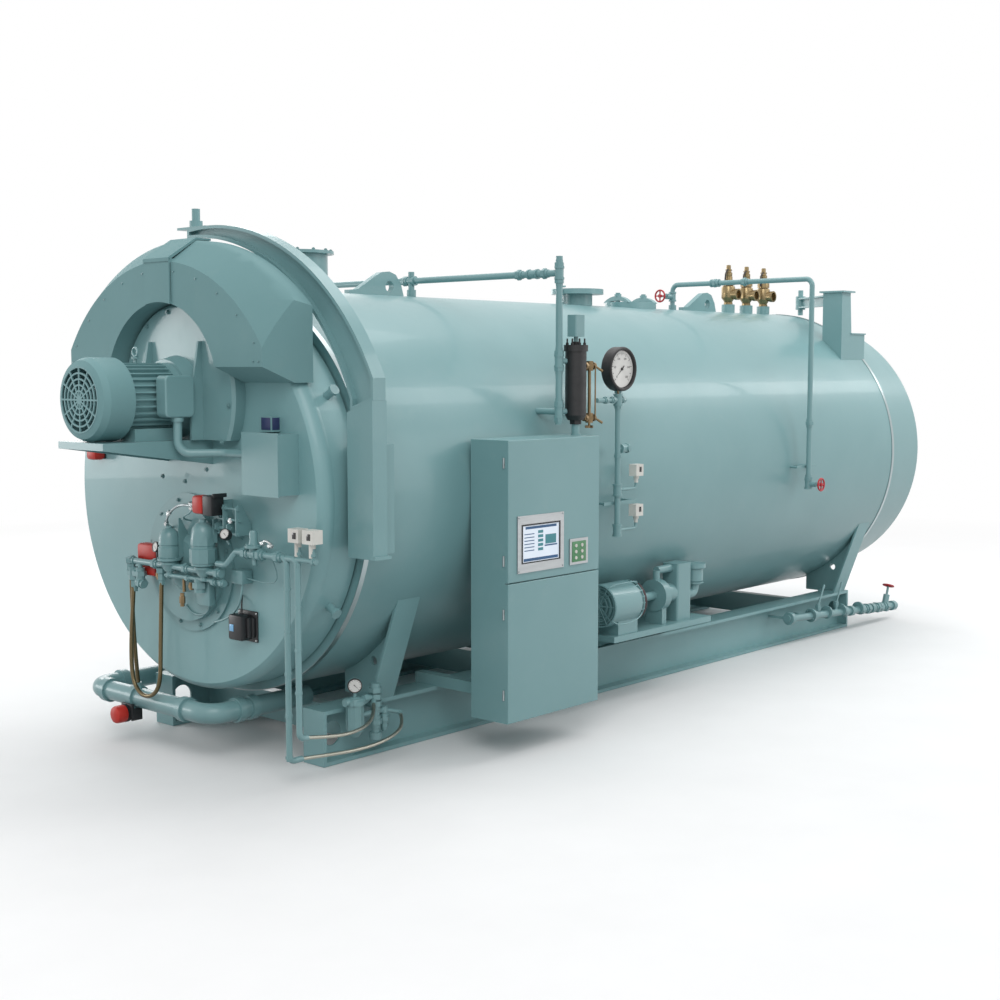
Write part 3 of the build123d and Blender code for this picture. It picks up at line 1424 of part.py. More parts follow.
nodes = {}
nodes["shell_jacket"] = shell_jacket()
nodes["end_bands"] = end_bands()
nodes["front_door"] = front_door()
nodes["rear_door"] = rear_door()
nodes["door_lugs"] = door_lugs()
nodes["skid_rail_near"] = skid_rail(-1)
nodes["skid_rail_far"] = skid_rail(1)
nodes["cross_members"] = cross_members()
nodes["saddle_front"] = saddle(saddle_front_x)
nodes["saddle_rear"] = saddle(saddle_rear_x)
nodes["burner_plate"] = burner_plate()
nodes["burner_valves"] = burner_valves()
nodes["burner_linkage"] = burner_linkage()
nodes["burner_actuators"] = burner_actuators()
nodes["burner_pipework"] = burner_pipework()
nodes["flame_safeguard_box"] = flame_safeguard_box()
nodes["air_hood"] = air_hood()
nodes["fan_housing"] = fan_housing()
nodes["motor_body"] = motor_body()
nodes["motor_cowl"] = motor_cowl()
nodes["motor_terminal_box"] = motor_terminal_box()
nodes["motor_shelf"] = motor_shelf()
nodes["motor_conduit"] = motor_conduit()
nodes["junction_box"] = junction_box() + pilot_box()
nodes["door_switches"] = door_switches()
nodes["front_davit"] = front_davit()
nodes["davit_column"] = davit_column()
nodes["control_cabinet"] = control_cabinet()
nodes["cabinet_arms"] = cabinet_arms()
nodes["cabinet_screen"] = cabinet_screen()
nodes["front_vent"] = nozzle(
    vent_x,
    vent_radius,
    vent_bore,
    vent_flange_radius,
    vent_flange_wall,
    vent_top,
    vent_bolt_circle,
    vent_bolts,
    vent_bolt_radius,
)
nodes["steam_nozzle"] = nozzle(
    steam_x,
    steam_radius,
    steam_bore,
    steam_flange_radius,
    steam_flange_wall,
    steam_top,
    steam_bolt_circle,
    steam_bolts,
    steam_bolt_radius,
)
nodes["lifting_lugs"] = Part() + [lifting_lug(x) for x in lifting_x]
nodes["manway"] = manway()
nodes["safety_couplings"] = safety_couplings()
nodes["safety_valve_front"] = safety_valve(safety_x[0])
nodes["safety_valve_middle"] = safety_valve(safety_x[1])
nodes["safety_valve_rear"] = safety_valve(safety_x[2])
nodes["equalizing_pipe"] = equalizing_pipe()
nodes["water_column"] = water_column()
nodes["column_switch"] = column_switch()
nodes["gauge_glass"] = gauge_glass()
nodes["steam_gauge"] = steam_gauge()
nodes["pressure_header"] = pressure_header()
nodes["pressure_switches"] = pressure_switches()
nodes["vent_pipe"] = vent_pipe()
nodes["handwheels"] = handwheels()
nodes["rear_davit"] = rear_davit()
nodes["rear_davit_arm"] = rear_davit_arm()
nodes["pump_base"] = pump_base()
nodes["pump_motor"] = pump_motor()
nodes["pump_body"] = pump_body()
nodes["gas_header"] = gas_header()
nodes["header_actuator"] = header_actuator()
nodes["regulator_set"] = regulator_set()
nodes["blowdown_line"] = blowdown_line()
nodes["supply_hose"] = hose(supply_hose_points, bronze_radius, "supply_hose")
nodes["loop_hose"] = hose(loop_hose_points, bronze_radius, "loop_hose")
nodes["upper_hose"] = hose(upper_hose_points, bright_radius, "upper_hose")
nodes["lower_hose"] = hose(lower_hose_points, bright_radius, "lower_hose")

os.makedirs("parts", exist_ok=True)
to_origin = Pos(-skid_length / 2, 0, 0)
for node, solid in nodes.items():
    export_step(to_origin * solid, f"parts/{node}.step")
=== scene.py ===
import math
import bmesh
import bpy
from mathutils import Matrix, Vector


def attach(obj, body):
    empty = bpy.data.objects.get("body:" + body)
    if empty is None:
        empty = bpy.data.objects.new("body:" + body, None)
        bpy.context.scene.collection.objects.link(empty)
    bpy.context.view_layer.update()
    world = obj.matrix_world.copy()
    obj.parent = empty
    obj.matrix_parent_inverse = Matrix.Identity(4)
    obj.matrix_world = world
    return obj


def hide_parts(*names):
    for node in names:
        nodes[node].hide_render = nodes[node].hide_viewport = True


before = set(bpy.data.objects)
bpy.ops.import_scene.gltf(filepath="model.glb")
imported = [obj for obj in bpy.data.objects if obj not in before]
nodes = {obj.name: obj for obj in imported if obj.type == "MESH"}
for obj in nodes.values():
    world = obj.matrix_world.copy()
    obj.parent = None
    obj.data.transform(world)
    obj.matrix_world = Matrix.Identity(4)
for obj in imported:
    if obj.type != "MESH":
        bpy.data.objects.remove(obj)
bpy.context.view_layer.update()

scene = bpy.context.scene

# drawn in millimetres from the front end of the shell, which lies this many metres from the origin
shellFront = 2.641
toScene = Matrix.Translation((-shellFront, 0, 0)) @ Matrix.Scale(0.001, 4)
up, toFront, toRear, toNear, toFar = (0, 0, 1), (-1, 0, 0), (1, 0, 0), (0, -1, 0), (0, 1, 0)


def at(x, y, z):
    return Vector((x / 1000 - shellFront, y / 1000, z / 1000))


viewpoint = {
    "place": (-7.3038, -6.0493, 1.9774), "tilt": 84.747, "heading": -48.144, "lens": 52.32, "sensor": 36,
}
cameraData = bpy.data.cameras.new("photoCamera")
cameraData.lens = viewpoint["lens"]
cameraData.sensor_width = viewpoint["sensor"]
camera = bpy.data.objects.new("photoCamera", cameraData)
camera.location = viewpoint["place"]
camera.rotation_euler = (math.radians(viewpoint["tilt"]), 0, math.radians(viewpoint["heading"]))
scene.collection.objects.link(camera)
scene.camera = camera
print("camera placed")


class Wire:
    # a shader socket that takes part in sums
    def __init__(self, owner, socket):
        self.owner = owner
        self.socket = socket

    def maths(self, operation, other):
        return self.owner.add("ShaderNodeMath", {"operation": operation}, {0: self, 1: other})

    def __add__(self, other):
        return self.maths("ADD", other)

    def __mul__(self, other):
        return self.maths("MULTIPLY", other)

    __radd__ = __add__
    __rmul__ = __mul__


class NodeTree:
    def __init__(self, tree):
        self.tree = tree

    def feed(self, socket, value):
        if isinstance(value, Wire):
            self.tree.links.new(value.socket, socket)
        elif socket.type == "RGBA":
            socket.default_value = (*value[:3], 1)
        else:
            socket.default_value = value

    def add(self, kind, settings=None, inputs=None, out=0):
        node = self.tree.nodes.new(kind)
        for key, value in (settings or {}).items():
            setattr(node, key, value)
        for key, value in (inputs or {}).items():
            self.feed(node.inputs[key], value)
        return Wire(self, node.outputs[out]) if node.outputs else None

    def seenRays(self):
        # one for rays that show a surface to the camera, by itself or in a reflection
        rays = ("Is Camera Ray", "Is Glossy Ray", "Is Transmission Ray")
        return sum(self.add("ShaderNodeLightPath", out=ray) for ray in rays)


class Finish(NodeTree):
    mixSockets = {"factor": 0, "first": 6, "second": 7, "result": 2}

    def __init__(self, name, color, roughness, metallic=0.0, coat=0.0, specular=0.5):
        self.material = bpy.data.materials.new(name)
        self.material.use_nodes = True
        super().__init__(self.material.node_tree)
        self.shader = self.tree.nodes["Principled BSDF"]
        self.use({
            "Base Color": color, "Roughness": roughness, "Metallic": metallic, "Coat Weight": coat,
            "Specular IOR Level": specular,
        })

    def use(self, sockets):
        for name, value in sockets.items():
            self.feed(self.shader.inputs[name], value)

    def place(self):
        return self.add("ShaderNodeTexCoord", out="Object")

    def noise(self, scale, detail=3.0, rough=0.55, stretch=(1, 1, 1)):
        spot = self.add("ShaderNodeMapping", inputs={"Vector": self.place(), "Scale": stretch})
        sockets = {"Vector": spot, "Scale": scale, "Detail": detail, "Roughness": rough}
        return self.add("ShaderNodeTexNoise", inputs=sockets)

    def blend(self, factor, first, second):
        mix = self.mixSockets
        colors = {mix["factor"]: factor, mix["first"]: first, mix["second"]: second}
        return self.add("ShaderNodeMix", {"data_type": "RGBA"}, colors, mix["result"])

    def between(self, value, low, high):
        sockets = {"Value": value, "From Min": low, "From Max": high, "To Min": 0.0, "To Max": 1.0}
        return self.add("ShaderNodeMapRange", inputs=sockets)

    def bump(self, height, distance, strength=0.4):
        sockets = {"Height": height, "Distance": distance, "Strength": strength}
        self.use({"Normal": self.add("ShaderNodeBump", inputs=sockets)})


def shade(color, amount):
    return tuple(min(1, part * amount) for part in color)


paint = {
    "color": (0.177, 0.334, 0.346), "light": (0.208, 0.372, 0.384), "dust": (0.285, 0.405, 0.405),
    "roughness": 0.34, "coat": 0.15,
    "cloud": {"scale": 1.3, "detail": 4.0}, "cloudRange": (0.35, 0.7), "cloudShare": 0.8,
    "patch": {"scale": 7.0, "detail": 6.0, "rough": 0.65}, "patchRange": (0.56, 0.86), "patchShare": 0.28,
    "streak": {"scale": 3.2, "stretch": (1, 1, 0.25)},
    "streakDulls": 0.14, "patchDulls": 0.16, "evenDulls": -0.07,
    "peel": {"scale": 150.0, "detail": 2.0}, "ripple": {"scale": 11.0, "detail": 2.0}, "rippleShare": 0.6,
    "bumpDistance": 0.0012, "bumpStrength": 0.22,
}


def enamel(name, tint=1.0, dull=0.0, coat=paint["coat"], specular=0.5):
    # sprayed enamel: broad cloudiness, faint orange peel, dust that gathers in patches
    color, light, dust = (shade(paint[key], tint) for key in ("color", "light", "dust"))
    roughness = paint["roughness"] + dull
    finish = Finish(name, color, roughness, coat=coat, specular=specular)
    cloud = finish.between(finish.noise(**paint["cloud"]), *paint["cloudRange"])
    patch = finish.between(finish.noise(**paint["patch"]), *paint["patchRange"])
    streak = finish.noise(**paint["streak"])
    base = finish.blend(cloud * paint["cloudShare"], color, light)
    varied = streak * paint["streakDulls"] + patch * paint["patchDulls"]
    finish.use({
        "Base Color": finish.blend(patch * paint["patchShare"], base, dust),
        "Roughness": varied + (roughness + paint["evenDulls"]),
    })
    relief = finish.noise(**paint["peel"]) + finish.noise(**paint["ripple"]) * paint["rippleShare"]
    finish.bump(relief, paint["bumpDistance"], paint["bumpStrength"])
    return finish.material


def casting(name, color, roughness, metallic):
    finish = Finish(name, color, roughness, metallic)
    grime = finish.between(finish.noise(scale=22.0, detail=5.0), low=0.42, high=0.75)
    finish.use({
        "Base Color": finish.blend(grime * 0.6, shade(color, 1.1), shade(color, 0.55)),
        "Roughness": grime * 0.22 + (roughness - 0.06),
    })
    finish.bump(finish.noise(scale=220.0), distance=0.0008, strength=0.5)
    return finish.material


def braid(name, color, roughness, pitch):
    # two crossing sets of braid wires; their colour paints shade in the gaps between wires and a highlight on
    # their crests
    finish = Finish(name, color, roughness, metallic=0.95)
    spot = finish.place()
    sets = []
    for lean in (0.8, -0.8):
        turned = finish.add("ShaderNodeMapping", inputs={"Vector": spot, "Rotation": (lean, lean, lean)})
        sockets = {"Vector": turned, "Scale": pitch, "Distortion": 0.6}
        sets.append(finish.add("ShaderNodeTexWave", {"bands_direction": "Z"}, sockets, "Fac"))
    strandsAndShading = sets[0] * sets[1]
    # dark in the gaps and bright on the crests of the weave: painted shade and painted highlight
    finish.use({
        "Base Color": finish.blend(strandsAndShading, shade(color, 0.30), shade(color, 1.45)),
        "Roughness": strandsAndShading * -0.12 + (roughness + 0.08),
    })
    finish.bump(strandsAndShading, distance=0.0005, strength=0.3)
    return finish.material


def moulded(name, color, roughness, coat=0.0):
    finish = Finish(name, color, roughness, coat=coat)
    mottle = finish.between(finish.noise(scale=9.0, detail=4.0), low=0.35, high=0.75)
    finish.use({
        "Base Color": finish.blend(mottle, shade(color, 0.88), shade(color, 1.08)),
        "Roughness": mottle * 0.1 + (roughness - 0.04),
    })
    finish.bump(finish.noise(scale=420.0, detail=2.0), distance=0.0004, strength=0.25)
    return finish.material


def brushed(name, color, roughness, stretch):
    finish = Finish(name, color, roughness, metallic=1.0)
    lines = finish.noise(scale=60.0, detail=4.0, rough=0.7, stretch=stretch)
    finish.use({
        "Base Color": finish.blend(lines, shade(color, 0.8), shade(color, 1.12)),
        "Roughness": lines * 0.18 + (roughness - 0.09),
    })
    finish.bump(lines, distance=0.0004, strength=0.25)
    return finish.material


def display(name, low, high, roughness, glow, strength):
    # lit glass of the operator screen
    finish = Finish(name, low, roughness)
    wash = finish.between(finish.noise(scale=6.0), low=0.3, high=0.8)
    finish.use({
        "Base Color": finish.blend(wash, low, high), "Emission Color": glow, "Emission Strength": strength,
    })
    return finish.material


# the numbers of an enamel are its tint, added roughness, coat and specular level; of the rest
# the colour and roughness, with a casting's metallic, a braid's pitch and a brush's stretch
recipes = {
    enamel: {
        # the door's enamel is tinted lighter than the body's, which paints the glare of a reflection on its
        # face
        "bodyPaint": (), "doorPaint": (1.12, 0.05), "railPaint": (1.08, 0.08),
        "hoodPaint": (0.90, 0.30, 0.0, 0.2), "cowlPaint": (0.98, 0.22, 0.0, 0.25), "fittingPaint": (0.95,),
        "boltPaint": (0.80, 0.04), "motorPaint": (1.02, -0.02),
    },
    brushed: {
        "brightBand": ((0.42, 0.49, 0.50), 0.30, (4, 0.08, 0.08)),
        "bezelSteel": ((0.46, 0.48, 0.49), 0.36, (0.1, 1, 1)),
    },
    braid: {
        "bronzeBraid": ((0.240, 0.190, 0.105), 0.24, 85.0),
        "steelBraid": ((0.720, 0.690, 0.590), 0.26, 110.0),
    },
    casting: {
        "blackIron": ((0.018, 0.018, 0.019), 0.46, 0.1), "bronzeCast": ((0.285, 0.215, 0.115), 0.30, 0.9),
        "brassWorn": ((0.210, 0.150, 0.080), 0.36, 0.85), "boltSteel": ((0.36, 0.40, 0.41), 0.36, 0.7),
        "whiteMetal": ((0.62, 0.64, 0.64), 0.28, 0.9),
    },
    moulded: {
        "redCap": ((0.52, 0.022, 0.012), 0.46), "wheelRed": ((0.46, 0.012, 0.02), 0.40, 0.1),
        "blackCase": ((0.012, 0.013, 0.015), 0.42), "whiteCase": ((0.70, 0.685, 0.635), 0.42),
        "darkSeam": ((0.010, 0.013, 0.014), 0.7), "dialFace": ((0.74, 0.73, 0.70), 0.5),
        "dialInk": ((0.012, 0.012, 0.012), 0.5), "displayBlue": ((0.22, 0.50, 0.78), 0.2),
        "windowDark": ((0.02, 0.02, 0.022), 0.2), "couplingBrown": ((0.060, 0.032, 0.036), 0.5),
        "pilotBlue": ((0.030, 0.040, 0.120), 0.35), "screenInk": ((0.02, 0.10, 0.24), 0.3),
        "screenTeal": ((0.05, 0.26, 0.30), 0.3), "screenDark": ((0.015, 0.016, 0.018), 0.25),
        "panelGreen": ((0.08, 0.25, 0.11), 0.4),
    },
    display: {
        "screenGlow": ((0.60, 0.66, 0.74), (0.72, 0.77, 0.82), 0.12, (0.62, 0.70, 0.80), 0.35),
    },
}
finishes = {name: mix(name, *look) for mix, looks in recipes.items() for name, look in looks.items()}

# every other node is in bodyPaint
nodeGroups = {
    # the front door takes the lighter enamel, with its painted glare
    "brightBand": ["end_bands"], "doorPaint": ["front_door"], "cowlPaint": ["motor_cowl"],
    "redCap": ["burner_actuators", "header_actuator"], "wheelRed": ["handwheels"],
    "blackCase": ["flame_safeguard_box"], "whiteCase": ["door_switches", "pressure_switches"],
    "bezelSteel": ["cabinet_screen"], "blackIron": ["water_column", "steam_gauge"],
    "brassWorn": ["gauge_glass"], "motorPaint": ["motor_body", "motor_terminal_box", "pump_motor"],
    "bronzeCast": ["safety_valve_front", "safety_valve_middle", "safety_valve_rear"],
    "railPaint": ["skid_rail_near", "skid_rail_far", "cross_members", "saddle_front", "saddle_rear"],
    "fittingPaint": [
        "gas_header", "burner_valves", "burner_pipework", "burner_linkage", "equalizing_pipe", "vent_pipe",
        "pressure_header", "regulator_set", "blowdown_line", "pump_body", "column_switch",
    ],
}


def ungroup(groups):
    return {member: key for key, members in groups.items() for member in members}


nodeFinish = ungroup(nodeGroups)
for name, solid in nodes.items():
    solid.data.materials.clear()
    solid.data.materials.append(finishes[nodeFinish.get(name, "bodyPaint")])
print("finishes mixed")


def drawCurve(name, points, radius, roundness, finish):
    curve = bpy.data.curves.new(name, "CURVE")
    curve.dimensions = "3D"
    spline = curve.splines.new("NURBS")
    spline.points.add(len(points) - 1)
    for knot, point in zip(spline.points, points):
        knot.co = (*at(*point), 1)
    spline.order_u = 3
    spline.use_endpoint_u = True
    curve.bevel_depth = radius / 1000
    curve.bevel_resolution = roundness
    curve.use_fill_caps = True
    curve.materials.append(finishes[finish])
    piece = bpy.data.objects.new(name, curve)
    scene.collection.objects.link(piece)
    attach(piece, "root")
    return piece


hoses = {
    "supplyHose": {
        "node": "supply_hose", "finish": "bronzeBraid", "slot": "bronze_braid", "radius": 11,
        "stiffness": "stiff", "points": [(-372, 362, 962), (-381, 352, 640), (-345, 364, 330)],
    },
    "loopHose": {
        "node": "loop_hose", "finish": "bronzeBraid", "slot": "bronze_braid", "radius": 11,
        "stiffness": "medium",
        "points": [
            (-376, 90, 930), (-388, 84, 750), (-399, 79, 560), (-402, 84, 365), (-404, 157, 292),
            (-404, 260, 290), (-402, 333, 365), (-399, 339, 560), (-388, 331, 750), (-376, 329, 930),
        ],
    },
    "upperHose": {
        "node": "upper_hose", "finish": "steelBraid", "slot": "steel_braid", "radius": 9,
        "stiffness": "medium",
        "points": [
            (-300, -935, 250), (-165, -943, 229), (-25, -938, 219), (105, -908, 229), (200, -852, 256),
            (252, -795, 290),
        ],
    },
    "lowerHose": {
        "node": "lower_hose", "finish": "steelBraid", "slot": "steel_braid", "radius": 9,
        "stiffness": "medium",
        "points": [
            (-270, -860, 130), (-135, -872, 121), (8, -899, 117), (150, -914, 123), (280, -906, 141),
            (385, -870, 170), (437, -800, 204),
        ],
    },
}


def lengthOf(curve):
    # along the middle of the curve, from a copy without thickness
    bare = curve.copy()
    bare.bevel_depth = 0
    probe = bpy.data.objects.new(curve.name + "Line", bare)
    line = bpy.data.meshes.new_from_object(probe)
    ends = [[line.vertices[index].co for index in edge.vertices] for edge in line.edges]
    bpy.data.objects.remove(probe)
    return sum((first - second).length for first, second in ends)


def layHose(name, hose):
    piece = drawCurve(name, hose["points"], hose["radius"], 5, hose["finish"])
    piece.data.resolution_u = 16
    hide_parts(hose["node"])
    tuple(at(*hose["points"][0]))
    round(lengthOf(piece.data), 3)
    2 * hose["radius"] / 1000
    return piece


hosePieces = [layHose(name, hose) for name, hose in hoses.items()]
print("hoses laid")


def seatAt(centre, direction):
    lean = Vector(up).rotation_difference(Vector(direction))
    return Matrix.Translation(Vector(centre)) @ lean.to_matrix().to_4x4()


def circle(count, radius, start=0.0):
    turns = [start + 2 * math.pi * step / count for step in range(count)]
    return [(radius * math.cos(turn), radius * math.sin(turn)) for turn in turns]


def addBar(shape, start, end, radius, sides=16, endRadius=None):
    start, end = Vector(start), Vector(end)
    bmesh.ops.create_cone(
        shape, cap_ends=True, segments=sides, radius1=radius, radius2=endRadius or radius,
        depth=(end - start).length, matrix=seatAt((start + end) / 2, end - start),
    )


def addUnion(shape, centre, direction, radius):
    # pipe union: hexagon nut between two round collars
    centre, way = Vector(centre), Vector(direction).normalized() * radius
    addBar(shape, centre - way * 1.5, centre + way * 1.5, radius * 1.2, 20)
    addBar(shape, centre - way * 0.6, centre + way * 0.6, radius * 1.6, 6)


def addBolt(shape, seat, direction, size):
    # washer, hexagon head and the rounded end of the bolt
    seat, way = Vector(seat), Vector(direction).normalized() * size
    addBar(shape, seat - way * 0.1, seat + way * 0.25, size * 1.15, 14)
    addBar(shape, seat + way * 0.2, seat + way * 1.0, size, 6, size * 0.94)
    addBar(shape, seat + way, seat + way * 1.3, size * 0.5, 8, size * 0.36)


def addBoltCircle(shape, centre, direction, radius, count, size, start=0):
    seat = seatAt(centre, direction)
    for spot in circle(count, radius, math.radians(start)):
        addBolt(shape, seat @ Vector((*spot, 0)), direction, size)


def addBlock(shape, low, high, bevel=0):
    low, high = Vector(low), Vector(high)
    spread = Matrix.Translation((low + high) / 2) @ Matrix.Diagonal((*(high - low), 1))
    made = bmesh.ops.create_cube(shape, size=1, matrix=spread)
    if bevel:
        edges = list({edge for vertex in made["verts"] for edge in vertex.link_edges})
        bmesh.ops.bevel(shape, geom=edges, offset=bevel, segments=2, profile=0.5, affect="EDGES")


def addRing(shape, centre, direction, radius, thick, around=48, section=8):
    seat = seatAt(centre, direction)
    rows = [
        [shape.verts.new(seat @ Vector(((radius + out) * x, (radius + out) * y, rise)))
         for out, rise in circle(section, thick)]
        for x, y in circle(around, 1)
    ]
    for step, here in enumerate(rows):
        after = rows[(step + 1) % around]
        for part in range(section):
            other = (part + 1) % section
            shape.faces.new((here[part], after[part], after[other], here[other]))


def addTurned(shape, base, direction, profile, sides=28):
    # closed turned form: pairs of radius and height along a direction
    seat = seatAt(base, direction)
    rows = [
        [shape.verts.new(seat @ Vector((*spot, height))) for spot in circle(sides, radius)]
        for radius, height in profile
    ]
    for low, high in zip(rows, rows[1:]):
        for step in range(sides):
            after = (step + 1) % sides
            shape.faces.new((low[step], low[after], high[after], high[step]))
    shape.faces.new(list(reversed(rows[0])))
    shape.faces.new(rows[-1])


def addPlate(shape, y, outline, thick):
    # upright plate: its corners in x and z, its face at y, thickened towards the near side
    front = [shape.verts.new((x, y, z)) for x, z in outline]
    back = [shape.verts.new((x, y - thick, z)) for x, z in outline]
    shape.faces.new(front)
    shape.faces.new(list(reversed(back)))
    for step in range(len(front)):
        after = (step + 1) % len(front)
        shape.faces.new((front[after], front[step], back[step], back[after]))


def addFace(shape, *corners):
    shape.faces.new([shape.verts.new(corner) for corner in corners])


# a row of a form holds what its function takes after the shape
forms = {
    "bars": addBar, "unions": addUnion, "bolts": addBolt, "boltCircles": addBoltCircle, "blocks": addBlock,
    "rings": addRing, "turned": addTurned, "plates": addPlate, "faces": addFace,
}


def addPiece(name, shape, finish, smooth=True, drawn=True):
    # a drawn shape is in millimetres, and any other is in the scene's metres
    if drawn:
        bmesh.ops.transform(shape, matrix=toScene, verts=shape.verts[:])
    mesh = bpy.data.meshes.new(name)
    shape.to_mesh(mesh)
    shape.free()
    mesh.materials.append(finishes[finish])
    piece = bpy.data.objects.new(name, mesh)
    scene.collection.objects.link(piece)
    if smooth:
        mesh.shade_smooth()
        mesh.set_sharp_from_angle(angle=math.radians(35))
    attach(piece, "root")
    return piece


def buildPieces(pieces):
    # a piece is a tube along its points, or else one mesh of all its forms
    for name, piece in pieces.items():
        finish = piece.get("finish", "fittingPaint")
        if "points" in piece:
            drawCurve(name, piece["points"], piece["radius"], 3, finish)
            continue
        shape = bmesh.new()
        for kind, addForm in forms.items():
            for row in piece.get(kind, ()):
                addForm(shape, *row)
        made = addPiece(name, shape, finish, piece.get("smooth", True))
        if "replaces" in piece:
            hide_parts(*piece["replaces"])


# bolts on the casings and screws in the face of the hood
hoodFace, screwSize = -424.4, 4.2
hoodRadius, hoodHeight, hoodDegrees = 935, 1509, (38, 49, 60, 71, 82)
hoodSpots = [
    (side * hoodRadius * math.cos(turn), hoodHeight + hoodRadius * math.sin(turn))
    for side in (-1, 1) for turn in map(math.radians, hoodDegrees)
]
hoodSpots += [(y, 2000) for y in (-770, -730, 730, 770)]
buildPieces({
    "casingBolts": {
        "finish": "boltPaint",
        "boltCircles": [
            ((-327.3, 0, 1827), toFront, 424, 14, 11, 8), ((-269.3, 0, 990), toFront, 322, 12, 10, 15),
            ((485, 0, 2590), up, 163.5, 12, 9, 15),
        ],
    },
    "hoodScrews": {
        "finish": "boltPaint", "bolts": [((hoodFace, y, z), toFront, screwSize) for y, z in hoodSpots],
    },
})
print("bolts set")

# valve train in front of the burner, gas run beside it and the runs that drop from it
trainX, mainZ, lowZ = -372, 978, 930
runX, runZ, runUnions = -350, 1092, ((-560, 19), (-668, 19), (-800, 18))
drops = {-935: (1070, 870, 670, 470), -860: (950, 750, 550, 350, 150)}
valveBody = [
    (0, -34), (24, -30), (34, -14), (39, 0), (46, 6), (46, 18), (42, 20), (60, 26), (60, 37), (52, 38),
    (0, 38),
]
roundBonnet = [
    (0, 38), (52, 38), (55, 48), (55, 92), (50, 96), (50, 102), (54, 106), (52, 140), (45, 166), (31, 182),
    (16, 188), (16, 198), (0, 200),
]
tallBonnet = [
    (0, 38), (66, 38), (68, 50), (68, 108), (59, 114), (59, 122), (62, 126), (58, 188), (51, 214), (34, 232),
    (18, 238), (18, 252), (0, 254),
]
hoseSleeve = [(0, -86), (14, -86), (16, -84), (18, -64), (22, -60), (22, -28), (30, -24), (30, 0), (0, 0)]
sleeveTops = ((90, 962), (329, 905), (362, 990))
valves = {26: (roundBonnet, 28), -255: (tallBonnet, 10)}
hosePorts = (346, 281)
fuelStem = [
    (0, -20), (22, -20), (22, 24), (44, 26), (44, 38), (24, 42), (20, 60), (20, 96), (15, 108), (0, 110),
]
